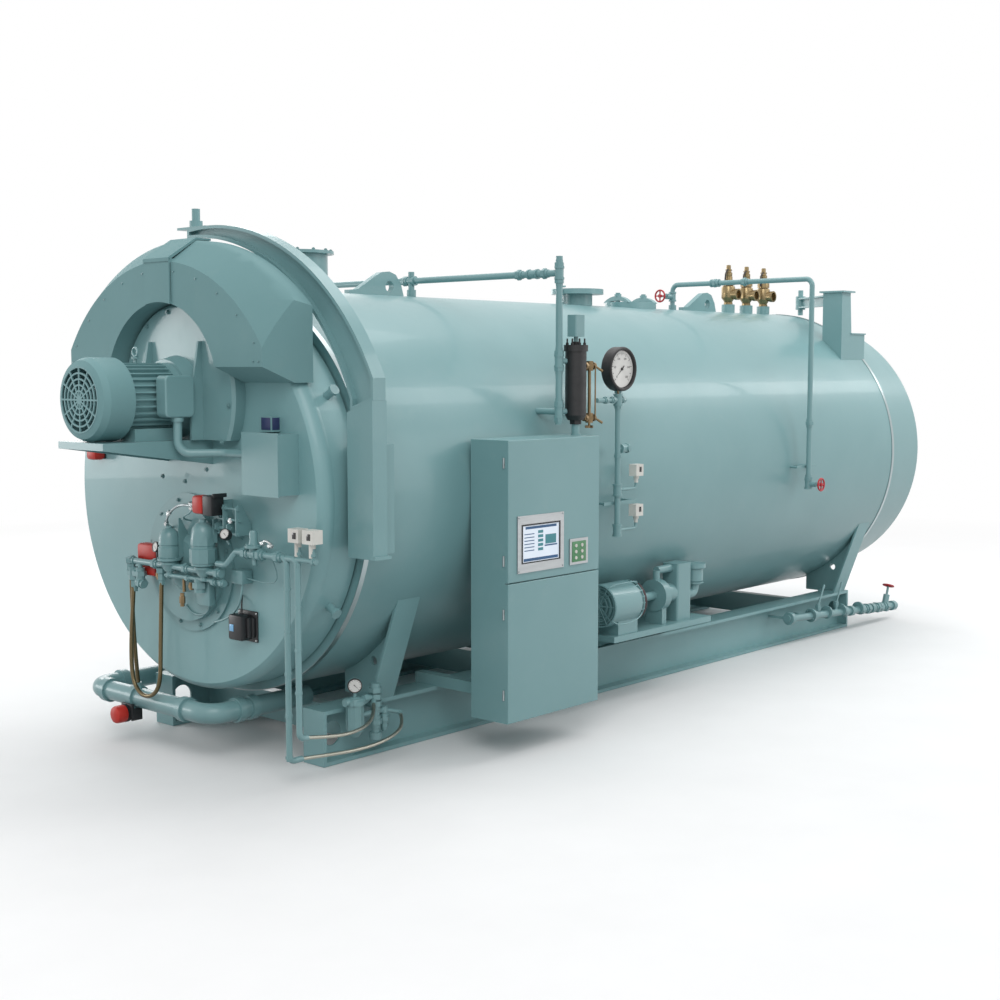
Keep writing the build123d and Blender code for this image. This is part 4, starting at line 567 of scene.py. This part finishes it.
# cross shafts of the damper drive and the nuts on them
shafts = ((-340, 1295), (-332, 1240), (-340, 1172))
shaftNuts = (-380, -400, -478, -494)
burnerPieces = {
    "valveTrain": {
        "replaces": ["burner_valves"],
        "bars": [
            ((trainX, 366, mainZ), (trainX, -372, mainZ), 16, 24),
            ((trainX, 60, lowZ), (trainX + 14, -400, lowZ + 6), 11, 20),
            *[((trainX, y, lowZ), (trainX, y, mainZ), 16, 18) for y in valves],
            *[((trainX - 10, y, mainZ + 4), (-322, y, mainZ), 18, 18) for y in valves],
            *[((trainX, y, 905), (trainX, y, mainZ), 13) for y in hosePorts],
        ],
        "unions": [
            *[((trainX, y, mainZ), toFar, 17) for y in (352, 150, -112, -372)],
            *[((trainX + 8, y, lowZ), toFar, 13) for y in (40, -120, -330, -392)],
            *[((trainX, y, 915), up, 20) for y in hosePorts],
            ((trainX, 312, 915), toFar, 18), ((trainX, 276, 868), (0, 1, 0.2), 19),
        ],
        "turned": [
            *[((trainX, y, mainZ + 4), up, valveBody, 32) for y in valves],
            *[((trainX, y, mainZ + 4), up, *bonnet) for y, bonnet in valves.items()],
            *[((trainX - 3, y, top), up, hoseSleeve, 6) for y, top in sleeveTops],
        ],
        "boltCircles": [((trainX, y, mainZ + 40), up, 55, 8, 5) for y in valves],
    },
    # brackets, cross shafts and links of the damper drive, with stem, flange and trap on the fuel line
    "damperDrive": {
        "plates": [
            (-340, [(-340, 1330), (-258, 1330), (-258, 1180), (-330, 1235)], 5),
            (-386, [(-352, 1312), (-326, 1312), (-326, 1150), (-352, 1150)], 6),
            (-484, [(-352, 1300), (-336, 1316), (-316, 1316), (-258, 1215), (-258, 1165), (-352, 1165)], 6),
            (-20, [(-350, 1222), (-338, 1222), (-258, 1080), (-350, 1010)], 6),
        ],
        "bars": [
            *[((x, -336, z), (x, -492, z), 5.5, 12) for x, z in shafts],
            *[((x, y - 4, z), (x, y + 4, z), 10, 6) for x, z in shafts for y in shaftNuts],
            ((-346, -384, 1166), (-352, -440, 1120), 6, 12), ((runX, -626, 1085), (runX, -626, 1040), 12),
        ],
        "turned": [((runX, -618, runZ + 4), up, fuelStem, 24)],
        "boltCircles": [((runX, -618, runZ + 42), up, 36, 6, 5)],
        "blocks": [((-325, -494, 928), (-258, -406, 996), 6), ((-338, -250, 796), (-300, -142, 915), 6)],
        "unions": [
            *[((runX, y, runZ), toFar, radius) for y, radius in runUnions], ((runX, -195, 900), up, 24),
            *[((runX, y, z), up, 11.5) for y, heights in drops.items() for z in heights],
        ],
    },
    "fuelLoopLine": {
        "radius": 3.2,
        "points": [
            (-300, -450, 966), (-300, -560, 952), (-300, -690, 950), (-305, -736, 975), (-318, -742, 1030),
            (-340, -735, 1085),
        ],
    },
    "motorCable": {
        "finish": "boltSteel", "radius": 6.2,
        "points": [
            (-400, -212, 1296), (-398, -150, 1302), (-385, -60, 1286), (-372, 20, 1246), (-355, 70, 1205),
            (-330, 96, 1168), (-262, 100, 1150),
        ],
    },
    "motorCableLow": {
        "radius": 4.5,
        "points": [
            (-395, -222, 1288), (-400, -190, 1262), (-390, -120, 1240), (-340, -60, 1215), (-262, -50, 1200),
        ],
    },
    "sensorCable": {
        "finish": "blackCase", "radius": 4,
        "points": [(-290, -445, 770), (-290, -442, 815), (-272, -425, 850), (-258, -405, 862)],
    },
    "ignitionLine": {
        "radius": 5,
        "points": [
            (-300, -200, 795), (-302, -195, 760), (-302, -130, 735), (-302, -40, 742), (-302, -10, 775),
        ],
    },
    "pilotLine": {
        "radius": 6,
        "points": [
            (-310, -480, 935), (-316, -475, 860), (-308, -420, 790), (-302, -330, 735), (-300, -230, 712),
        ],
    },
    "cableGlands": {
        "finish": "whiteMetal",
        "unions": [
            ((-400, -206, 1308), (-0.2, 1, 0.25), 8.5), ((-398, -206, 1286), (-0.2, 1, 0.1), 8.5),
            ((-372, 22, 1245), (0, 0.6, -0.8), 8.5), ((-345, 84, 1188), (0.2, 0.5, -0.8), 8.5),
            ((-330, -420, 1235), up, 8.5), ((-352, -690, 1150), toFar, 8.5), ((-352, -745, 1140), toFar, 8.5),
        ],
    },
}

# switches: dark windows, painted stems and hexagon glands; the gas run's end carries both door switches
doorSwitches, headerSwitches = (-930, -1030), (1322, 1095)
burnerPieces |= {
    "switchWindows": {
        "finish": "windowDark",
        "blocks": [
            *[((-371.9, y - 21, 1190), (-370.6, y + 5, 1220), 0.5) for y in doorSwitches],
            *[((1968, -1168.9, z + 61), (1988, -1167.4, z + 90), 0.5) for z in headerSwitches],
        ],
    },
    "switchStems": {
        "bars": [
            ((runX, -905, runZ), (runX + 5, -1050, runZ), 11.5, 18),
            *[((-341, y, runZ - 2), (-338, y, 1160), 10.5) for y in doorSwitches],
        ],
        "unions": [
            ((runX + 5, -1044, runZ), toFar, 11.5), *[((-339, y, 1120), up, 11.5) for y in doorSwitches],
        ],
    },
    "switchGlands": {
        "finish": "whiteCase",
        "bars": [
            *[((1975, -1140, z), (1975, -1140, z + 22), 12.5, 6) for z in headerSwitches],
            *[((1975, -1140, z + 22), (1975, -1140, z + 36), 16, 20) for z in headerSwitches],
            *[((-338, y, 1150), (-338, y, 1171), 14.5, 6) for y in doorSwitches],
        ],
    },
    "cockLever": {
        "finish": "whiteMetal", "radius": 6,
        "points": [(-350, -672, 1140), (-352, -690, 1158), (-352, -725, 1164), (-352, -762, 1140)],
    },
    # hexagon nipples: x, y, z and half their height
    "brassNipples": {
        "finish": "brassWorn",
        "bars": [
            *[((x, y, z - half * share), (x, y, z + half * share), radius, 6)
              for x, y, z, half in ((-345, -116, 887, 18), (-352, -48, 812, 34), (-380, 110, 925, 22))
              for share, radius in ((1, 11), (0.5, 15))],
            ((-340, -48, 850), (-340, -48, 930), 8, 14),
        ],
    },
}
buildPieces(burnerPieces)
print("valve train built")

# small gauges: a case with a recessed dial, its marks and a pointer
smallGauges = {
    "draftGauge": {
        "centre": (-408, -470, 1182), "way": (-0.85, -0.30, 0.35),
        "radius": 27, "deep": 34, "rim": "blackCase",
    },
    "gasGauge": {
        "centre": (-388, 128, 1068), "way": (-0.86, 0.10, 0.15),
        "radius": 27, "deep": 30, "rim": "blackCase",
    },
    "filterGauge": {
        "centre": (143.2, -776.8, 398), "way": (-0.62, -0.78, 0),
        "radius": 37, "deep": 12, "rim": "blackIron",
    },
}
scaleStart, scaleSweep, smallTicks = 225, 270, 11  # degrees, and the number of marks


def smallGauge(name, gauge):
    centre, way = Vector(gauge["centre"]), Vector(gauge["way"]).normalized()
    radius, deep = gauge["radius"], gauge["deep"]
    inner, recess = radius * 0.86, -4
    level = way.cross(Vector(up)).normalized()
    rise = level.cross(way)
    marks = []
    for step in range(smallTicks):
        turn = math.radians(scaleStart - scaleSweep * step / (smallTicks - 1))
        ray = (level * math.cos(turn) + rise * math.sin(turn)) * radius
        wide = ray.cross(way) * 0.02
        start, end = (centre - way * 1.8 + ray * share for share in (0.66, 0.8))
        marks.append((start - wide, start + wide, end + wide, end - wide))
    ray = (level * -0.72 + rise * -0.69) * radius
    wide = ray.cross(way).normalized() * radius * 0.06
    hub = centre - way * 1.2
    marks.append((hub - ray * 0.2 - wide, hub - ray * 0.2 + wide, hub + ray * 0.72))
    profile = [
        (0, -deep), (radius * 0.92, -deep), (radius, -deep * 0.85), (radius, 0), (inner, 0), (inner, recess),
        (0, recess),
    ]
    buildPieces({
        name + "Case": {
            "finish": gauge["rim"], "slot": "black_iron", "turned": [(centre, way, profile, 36)],
        },
        name + "Dial": {
            "finish": "dialFace",
            "bars": [(centre - way * 4.5, centre - way * 2.5, inner, 36)],
        },
        name + "Marks": {"finish": "dialInk", "smooth": False, "faces": marks},
    })


for name, gauge in smallGauges.items():
    smallGauge(name, gauge)

# drive motors with red covers on black bases, flame controller, pilot and the motor's eyebolt
headerDrive = (395, 172)
driveDome = [(0, -4), (44, -4), (46, 4), (46, 40), (42, 52), (30, 59), (0, 60)]
buildPieces({
    "motorCovers": {
        "finish": "redCap", "replaces": ["burner_actuators", "header_actuator"],
        "blocks": [
            ((-412, -300, 1262), (-334, -216, 1352), 16), ((-345, 186, 968), (-272, 352, 1066), 16),
            ((-345, 196, 902), (-285, 338, 952), 16), ((-330, 742, 1478), (-262, 828, 1538), 16),
        ],
        "turned": [((-418, *headerDrive), toFront, driveDome, 36)],
    },
    "motorBases": {
        "finish": "blackCase", "slot": "red_cap",
        "blocks": [
            ((-408, -372, 1258), (-330, -300, 1356), 6), ((-400, -380, 1346), (-318, -366, 1366), 3),
            ((-262, 746, 1482), (-255.6, 824, 1534), 2), ((-340, 174, 976), (-276, 190, 1058), 3),
            ((-402, 345, 150), (-384, 440, 222), 4), ((-396, 352, 132), (-330, 362, 196), 3),
        ],
        "bars": [
            *[((x, *headerDrive), (x - 3, *headerDrive), 47, 32) for x in (-396, -402, -408, -414)],
            ((-418, *headerDrive), (-390, *headerDrive), 43, 32),
        ],
    },
    "flameController": {
        "finish": "blackCase", "replaces": ["flame_safeguard_box"],
        "blocks": [
            ((-331, -487, 650), (-262, -384, 776), 12), ((-263, -528, 640), (-255.6, -380, 792), 3),
            ((-300, -505, 662), (-258, -479, 764), 8), ((-280, -515, 662), (-258, -489, 764), 8),
        ],
    },
    "controllerScrews": {
        "finish": "whiteMetal", "slot": "black_plastic",
        "bolts": [((-263, y, z), toFront, screwSize) for y in (-519, -390) for z in (650, 782)],
    },
    "controllerDisplay": {
        "finish": "displayBlue",
        "blocks": [((-333.5, -430, 694), (-330.5, -400, 728), 1)],
    },
    "pilotFace": {
        "finish": "pilotBlue",
        "blocks": [
            ((-311.5, -706, 1680), (-308.5, -640, 1738), 1), ((-306, -716.5, 1680), (-262, -714.5, 1738), 1),
        ],
    },
    "motorEyebolt": {
        "finish": "motorPaint",
        "rings": [((-565, 0, 2047), toRear, 21, 5.5, 32, 10)],
        "bars": [((-565, 0, 1990), (-565, 0, 2029), 8), ((-565, 0, 2014), (-565, 0, 2024), 17, 20)],
    },
})
print("burner dressed")

# air hood with straight cheeks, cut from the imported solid's own form
cheek = {"front": (-424, 794), "back": (-269, 838), "height": 1900}
shape = bmesh.new()
shape.from_mesh(nodes["air_hood"].data)
bmesh.ops.remove_doubles(shape, verts=shape.verts[:], dist=1e-5)
(frontX, frontY), (backX, backY) = cheek["front"], cheek["back"]
for side in (-1, 1):
    outward = Vector((frontY - backY, side * (backX - frontX), 0)).normalized()
    cut = bmesh.ops.bisect_plane(
        shape, geom=shape.verts[:] + shape.edges[:] + shape.faces[:], dist=1e-6,
        plane_co=at(frontX, side * frontY, cheek["height"]), plane_no=outward, clear_outer=True,
    )
    edges = [part for part in cut["geom_cut"] if isinstance(part, bmesh.types.BMEdge)]
    bmesh.ops.triangle_fill(shape, edges=edges, use_beauty=True, use_dissolve=True, normal=outward)
bmesh.ops.recalc_face_normals(shape, faces=shape.faces[:])
airHood = addPiece("airHood", shape, "hoodPaint", smooth=False, drawn=False)
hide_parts("air_hood")
hoodCrest = [(-438, 2486), (-438, 2504), (-270, 2609), (-180, 2609), (-180, 2598), (-268, 2598)]
buildPieces({
    "hoodCap": {"finish": "hoodPaint", "smooth": False, "plates": [(105, hoodCrest, 210)]},
    "hoodSeam": {
        "finish": "darkSeam", "smooth": False, "blocks": [((-425.4, -106.2, 2292), (-424.1, -105.0, 2478))],
    },
})

# safety valves: bowl, bored outlet, bonnet and cap, and the lifting lever
relief = {
    "places": {"front": 4650, "middle": 4898, "rear": 5141}, "inlet": 2438, "outlet": 2512,
    "bowl": [
        (0, 0.5), (33, 0.5), (33, 14), (30, 18), (36, 30), (49, 46), (51, 56), (51, 122), (47, 134),
        (36, 139), (36, 142), (46, 143), (46, 176), (38, 178), (0, 178),
    ],
    "bonnet": [
        (0, 176), (30, 176), (30, 206), (26, 210), (28, 214), (28, 236), (21, 240), (21, 252), (25, 254),
        (25, 260), (17, 262), (17, 290), (12, 293), (0, 293),
    ],
    "mouth": [(0, 0), (36, 0), (36, 60), (41, 64), (42, 92), (31, 92), (30, 66), (0, 62)],
    "lever": [(26, 2694), (-20, 2700), (-44, 2680), (-56, 2640), (-56, 2590)], "leverY": -8,
}
for name, x in relief["places"].items():
    seat = (x, 0, relief["inlet"])
    buildPieces({
        "reliefValve" + name.capitalize(): {
            "finish": "bronzeCast", "replaces": ["safety_valve_" + name],
            "turned": [
                (seat, up, relief["bowl"], 36), (seat, up, relief["bonnet"], 12),
                ((x, 0, relief["outlet"]), toNear, relief["mouth"], 36),
            ],
        },
        "reliefLever" + name.capitalize(): {
            "finish": "blackIron", "slot": "bronze_casting", "radius": 6,
            "points": [(x + along, relief["leverY"], z) for along, z in relief["lever"]],
        },
    })
print("hood and safety valves built")

# studs, glands and unions of the level and steam fittings
column, columnTop, columnLow = (1413, -1150), 2091, 1691
glassX, glassY, glassLow, glassEnds = 1530, -1150, 1700, (1700, 1980)
header, crown, riserX, ventX, crestZ = (1800, -1140), (2671, 0), 1320, 3930, 2469
studs = [(column[0] + x, column[1] + y) for x, y in circle(8, 50, 0.3)]
cockBody = [(0, 0), (26, 0), (26, 16), (17, 18), (17, 60), (24, 62), (24, 92), (0, 96)]
buildPieces({
    "columnStuds": {
        "finish": "blackIron",
        "bars": [
            *[((*spot, columnTop), (*spot, columnTop + 34), 4.2, 10) for spot in studs],
            *[((*spot, columnTop), (*spot, columnTop + 12), 8.5, 6) for spot in studs],
            ((*column, columnTop), (*column, columnTop + 18), 26, 6),
            ((*column, columnLow - 22), (*column, columnLow + 1), 33, 6),
        ],
    },
    "columnDrain": {
        "bars": [((*column, 1556), (*column, columnLow - 20), 21.2, 24)],
        "unions": [((*column, 1585), up, 22.5)],
    },
    "glassCocks": {
        "finish": "brassWorn",
        "unions": [
            *[((glassX, glassY, z), up, 17.5) for z in glassEnds],
            *[((glassX - 34, glassY, z), toRear, 13) for z in glassEnds],
        ],
        "bars": [
            *[((glassX, glassY, z), (glassX + 36, glassY - 14, z + 4), 10, 6) for z in glassEnds],
            *[((glassX + 30, glassY - 12, z), (glassX + 75, glassY - 30, z - 28), 5.5, 12, 7.5)
              for z in glassEnds],
            ((glassX, glassY, glassLow - 52), (glassX, glassY, glassLow - 20), 7, 14),
            *[((glassX, glassY, glassLow - 48), (glassX + x, glassY + y, glassLow - 48), 7.5, 8)
              for x, y in circle(5, 22)],
        ],
    },
    "gaugeCock": {
        "finish": "brassWorn",
        "bars": [
            ((*header, 1826), (*header, 1844), 16.5, 6), ((*header, 1806), (*header, 1818), 19, 6),
            ((1786, -1152, 1822), (1770, -1160, 1846), 5, 10),
        ],
    },
    "pipeUnions": {
        "unions": [
            *[((riserX, y, z + rise), up, 16.5) for y in (-1110, 1110) for z in (crestZ, 2006, 1738)
              for rise in (-44, 44)],
            *[((riserX, y, crestZ), toFar, 18) for y in (-1010, -830, 50)],
            *[((*header, z), up, 14) for z in (1752, 1838, 1480, 1290, 1060)],
            *[((x, header[1], 1792), toRear, 13.5) for x in (1752, 1690, 1840)],
            *[((ventX, -1120, z), up, 18.2) for z in (1600, 1230)],
            *[((ventX, y, 2553), toFar, 18.2) for y in (-360, -600)],
        ],
    },
    # small cock on the crown and its lever
    "crownCock": {
        "turned": [((*crown, 2376), up, cockBody, 24)],
        "bars": [((*crown, 2468), (*crown, 2492), 8, 12), ((2640, 0, 2488), (2725, 0, 2496), 6, 12)],
    },
})
print("level and steam fittings dressed")

# pump: guard and end rings, rims of the filling cup, guard rods, smooth drum and coupling ring
pumpAxis, guardX, cup = (-950, 602), 1881, (2844, -950)
pumpDrum = [(117, 0), (124.5, 6), (124.5, 205), (121.5, 222), (110, 232), (108, 232)]
# blowdown line: places along it, in x and z
drainY, flangeHalf = -800, 7
flanges = ((4560, 191), (4790, 181), (5000, 171), (5266, 155))
levers = ((4661, 186), (4925, 175))
drainUnions = ((5400, 132), (5560, 122), (5700, 113))
# regulator: filter, valve beside it and the drop to the lower hose
filterX, valveX, dropX, lineY, lineZ = 155, 295, 355, -762, 318
filterBolts = [(filterX + x, lineY + y) for x, y in circle(8, 41.5)]
buildPieces({
    "pumpTrim": {
        "rings": [
            *[((x, *pumpAxis), toFront, 120.5, 4.5, 56) for x in (1883, 1902, 2160)],
            ((guardX, *pumpAxis), toFront, 62, 2.8, 40), ((guardX, *pumpAxis), toFront, 90, 2.8, 44),
            *[((*cup, z), up, radius, 4.5) for z, radius in ((752, 63.5), (728, 62.5), (636, 56))],
        ],
        "bars": [
            ((guardX, *pumpAxis), (guardX, pumpAxis[0] + y, pumpAxis[1] + z), 3, 8) for y, z in circle(6, 118)
        ],
    },
    "pumpGuardHigh": {
        "finish": "motorPaint", "radius": 4.2,
        "points": [
            (1884, -1015, 706), (1892, -1024, 728), (2060, -1028, 730), (2150, -1028, 728),
            (2172, -1006, 700),
        ],
    },
    "pumpGuardLow": {
        "finish": "motorPaint", "radius": 4.2,
        "points": [
            (1884, -1046, 526), (1900, -1070, 500), (2040, -1078, 506), (2150, -1064, 530),
            (2168, -1046, 556),
        ],
    },
    "blowdownFlanges": {
        "bars": [
            *[((x - flangeHalf, drainY, z), (x + flangeHalf, drainY, z), 47, 28) for x, z in flanges],
            *[((x, drainY, z), (x, drainY, z + 70), 12) for x, z in levers],
            *[((x - 4, drainY - 6, z + 66), (x + 72, drainY - 6, z + 205), 6.2, 12, 8.5) for x, z in levers],
        ],
        "boltCircles": [((x - flangeHalf, drainY, z), toFront, 37, 4, 6, 45) for x, z in flanges],
        "unions": [
            *[((x, drainY, z + 52), up, 14) for x, z in levers],
            *[((x, drainY, z), (1, 0, -0.06), 26.5) for x, z in drainUnions],
        ],
    },
    "pumpDrum": {"finish": "motorPaint", "turned": [((1918, *pumpAxis), toRear, pumpDrum, 56)]},
    "couplingRing": {
        "finish": "couplingBrown",
        "rings": [((2184, *pumpAxis), toRear, 112, 9.5, 48, 10)],
    },
    "regulatorFittings": {
        "blocks": [((filterX - 40, lineY - 40, 296), (filterX + 40, lineY + 40, 334), 9)],
        "bars": [
            *[((*spot, 176), (*spot, 292), 4.2, 8) for spot in filterBolts],
            ((filterX - 38, lineY, lineZ), (filterX - 68, lineY, lineZ), 19, 24),
            ((filterX + 38, lineY, lineZ), (valveX, lineY, lineZ), 13.5, 20),
            ((dropX, lineY, 240), (dropX, lineY, 128), 13.5, 20, 10.5),
            ((dropX, lineY, 223), (dropX, lineY, 257), 18.5, 24),
        ],
        "unions": [
            ((filterX + 62, lineY, lineZ), toRear, 16.5), ((dropX, lineY, 196), up, 17.5),
            *[((valveX, lineY, z), up, 21.5) for z in (352, lineZ, 282, 190)],
            ((dropX, lineY, 160), up, 14.5),
        ],
    },
})
print("pump and blowdown dressed")

# dial of the steam gauge
dial = {
    "centre": Vector((1800, -1162.6, 1963)), "radius": 102, "ticks": 51, "everyLong": 5, "outer": 91,
    "long": {"inner": 76, "half": 1.4}, "short": {"inner": 83, "half": 0.6}, "reading": 222,
    "numbers": 6, "numberStep": 60, "numberRadius": 62, "numberSize": 0.017,
}


def onDial(degrees, radius, aside, lift):
    turn = math.radians(degrees)
    way = Vector((math.cos(turn), 0, math.sin(turn)))
    across = Vector((-math.sin(turn), 0, math.cos(turn)))
    return dial["centre"] + way * radius + across * aside - Vector((0, lift, 0))


def dialTick(step):
    size = dial["short" if step % dial["everyLong"] else "long"]
    degrees = scaleStart - scaleSweep * step / (dial["ticks"] - 1)
    corners = ((size["inner"], -1), (size["inner"], 1), (dial["outer"], 1), (dial["outer"], -1))
    return [onDial(degrees, radius, side * size["half"], 1.6) for radius, side in corners]


buildPieces({
    "dialPlate": {
        "finish": "dialFace",
        "bars": [(onDial(0, 0, 0, -0.6), onDial(0, 0, 0, 1.2), dial["radius"], 72)],
    },
    "dialTicks": {
        "finish": "dialInk", "smooth": False,
        "faces": [dialTick(step) for step in range(dial["ticks"])],
    },
    "dialPointer": {
        "finish": "dialInk", "smooth": False,
        "faces": [[onDial(dial["reading"], *spot, 4) for spot in ((-26, -4), (-26, 4), (78, 0))]],
        "bars": [(onDial(0, 0, 0, 1), onDial(0, 0, 0, 7), 8, 20)],
    },
    "gaugeBezel": {
        "finish": "blackIron",
        "rings": [((1800, -1172.5, 1963), toNear, 113, 8.5, 72, 10)],
    },
})


def dialNumber(text, degrees):
    letters = bpy.data.curves.new("dialNumber" + text, "FONT")
    letters.body = text
    letters.size = dial["numberSize"]
    letters.align_x = "CENTER"
    letters.align_y = "CENTER"
    letters.materials.append(finishes["dialInk"])
    piece = bpy.data.objects.new("dialNumber" + text, letters)
    piece.location = toScene @ onDial(degrees, dial["numberRadius"], 0, 1.8)
    piece.rotation_euler = (math.radians(90), 0, 0)
    scene.collection.objects.link(piece)
    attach(piece, "root")


for step in range(dial["numbers"]):
    dialNumber(str(step * dial["numberStep"]), scaleStart - scaleSweep * step / (dial["numbers"] - 1))
print("gauge dressed")

# operator screen, the small panel beside it and the cabinet's hinges
screen = {"x": (803, 1090), "z": (994, 1179), "face": -1303.6, "glassLift": 0.4, "inkLift": 0.8}


def screenPatch(finish, left, right, low, high, lift=screen["inkLift"]):
    # a block of the screen's picture, in shares of its width and height
    (x0, x1), (z0, z1), y = screen["x"], screen["z"], screen["face"] - lift
    spots = ((left, low), (right, low), (right, high), (left, high))
    corners = [(x0 + (x1 - x0) * across, y, z0 + (z1 - z0) * rise) for across, rise in spots]
    return {"finish": finish, "smooth": False, "faces": [corners]}


frameSides = (
    ((795, 988), (1098, 994)), ((795, 1179), (1098, 1187)), ((795, 994), (803, 1179)),
    ((1090, 994), (1098, 1179)),
)
buttons = [(1225 + 50 * across, 980 + 32 * rise) for across in range(2) for rise in range(3)]
buildPieces({
    "screenGlass": screenPatch("screenGlow", 0, 1, 0, 1, screen["glassLift"]),
    "screenRow0": screenPatch("screenInk", 0.08, 0.93, 0.90, 0.97),
    "screenRow1": screenPatch("screenInk", 0.03, 0.97, 0.02, 0.10),
    **{"screenButton%d" % row: screenPatch("screenTeal", 0.42, 0.56, 0.28 + 0.12 * row, 0.36 + 0.12 * row)
       for row in range(5)},
    **{"screenText%d" % row: screenPatch("screenInk", 0.05, 0.32, 0.30 + 0.09 * row, 0.325 + 0.09 * row)
       for row in range(6)},
    "screenDrum": screenPatch("screenTeal", 0.62, 0.92, 0.44, 0.70),
    "screenRim": screenPatch("screenInk", 0.60, 0.95, 0.38, 0.42),
    "screenFrame": {
        "finish": "screenDark",
        "blocks": [((x0, -1308.2, z0), (x1, -1303.0, z1)) for (x0, z0), (x1, z1) in frameSides],
    },
    "panelPlate": {
        "finish": "panelGreen",
        "blocks": [((1196, -1309, 958), (1310, -1306, 1066), 1.5)],
    },
    "panelButtons": {
        "finish": "whiteCase", "slot": "bezel_steel",
        "bars": [((x, -1309, z), (x, -1312, z), 9, 20) for x, z in buttons],
    },
    "bezelScrews": {
        "finish": "boltSteel", "slot": "bezel_steel",
        "bolts": [((x, -1306.3, z), toNear, 3.5) for x in (775, 1118) for z in (952, 1221)],
    },
    "cabinetHardware": {
        "finish": "boltSteel",
        "bars": [((696.5, -1272, z - 26), (696.5, -1272, z + 26), 5.5, 14) for z in (330, 740, 1010, 1500)],
    },
})
print("cabinet dressed")

# floor: matte under the lamps, and from glowStart to glowEnd metres out it fades to white
floor = {
    "low": (0.86, 0.86, 0.86), "high": (0.89, 0.89, 0.89),
    "matte": (0.42, 0.44, 0.45), "glowStart": 4.5, "glowEnd": 11.0, "half": 60, "drop": -0.002,
}
ground = Finish("paleFloor", floor["low"], roughness=0.75)
speckle = ground.between(ground.noise(scale=2.0), low=0.3, high=0.8)
ground.use({"Base Color": ground.blend(speckle, floor["low"], floor["high"])})
seen = ground.seenRays()
distance = ground.add("ShaderNodeVectorMath", {"operation": "LENGTH"}, {0: ground.place()}, "Value")
far = ground.between(distance, floor["glowStart"], floor["glowEnd"])
glow = ground.add("ShaderNodeEmission", inputs={"Color": (1, 1, 1), "Strength": 1.0})
matte = ground.add("ShaderNodeBsdfDiffuse", inputs={"Color": floor["matte"]})
shown = Wire(ground, ground.shader.outputs["BSDF"])
lit = ground.add("ShaderNodeMixShader", inputs={0: seen, 1: matte, 2: shown})
whole = ground.add("ShaderNodeMixShader", inputs={0: seen * far, 1: lit, 2: glow})
ground.feed(ground.tree.nodes["Material Output"].inputs["Surface"], whole)
half = floor["half"]
corners = [(x, y, floor["drop"]) for x, y in ((-half, -half), (half, -half), (half, half), (-half, half))]
floorMesh = bpy.data.meshes.new("paleFloor")
floorMesh.from_pydata(corners, [], [(0, 1, 2, 3)])
floorMesh.materials.append(ground.material)
paleFloor = bpy.data.objects.new("paleFloor", floorMesh)
scene.collection.objects.link(paleFloor)

lamps = {
    "keyLamp": {"place": (-8.5, -7.0, 8.5), "target": (0, 0, 1.2), "size": (6.0, 6.0), "power": 380},
    "fillLamp": {"place": (4.5, -9.0, 3.5), "target": (0.5, 0, 1.2), "size": (5.0, 5.0), "power": 95},
    "topLamp": {"place": (0.5, 0.5, 8.5), "target": (0, 0, 1.2), "size": (5.5, 5.5), "power": 215},
    "backLamp": {"place": (3.0, 8.5, 5.0), "target": (0, 0, 1.4), "size": (5.0, 5.0), "power": 240},
    "doorLamp": {"place": (-7.4, 8.4, 1.9), "target": (-2.9, 0.9, 0.9), "size": (3.4, 2.4), "power": 160},
    "streakLamp": {"place": (8.0, -3.8, 6.0), "target": (8.0, -0.9, 1.5), "size": (13.0, 1.1), "power": 215},
}
for name, lamp in lamps.items():
    light = bpy.data.lights.new(name, "AREA")
    light.shape = "RECTANGLE"
    light.size, light.size_y = lamp["size"]
    light.energy = lamp["power"]
    holder = bpy.data.objects.new(name, light)
    holder.location = lamp["place"]
    aim = Vector(lamp["target"]) - Vector(lamp["place"])
    holder.rotation_euler = aim.to_track_quat("-Z", "Y").to_euler()
    scene.collection.objects.link(holder)

# the world is white where it is seen, and lights the rest with a share of white in a soft blue
sky = {"soft": (0.93, 0.96, 1.0), "strength": 0.38, "whiteShare": 0.5}
world = bpy.data.worlds.new("studio")
scene.world = world
world.use_nodes = True
world.node_tree.nodes.clear()
studio = NodeTree(world.node_tree)
soft = studio.add("ShaderNodeBackground", inputs={"Color": sky["soft"], "Strength": sky["strength"]})
white = studio.add("ShaderNodeBackground", inputs={"Color": (1, 1, 1)})
share = studio.seenRays() * (1 - sky["whiteShare"]) + sky["whiteShare"]
mixed = studio.add("ShaderNodeMixShader", inputs={0: share, 1: soft, 2: white})
studio.add("ShaderNodeOutputWorld", inputs={"Surface": mixed})
scene.view_settings.view_transform = "Standard"
print("studio lit")

bpy.context.view_layer.update()
for piece in hosePieces:
    piece.location.x += 0.0  # a curve's own box is right from its second reading on
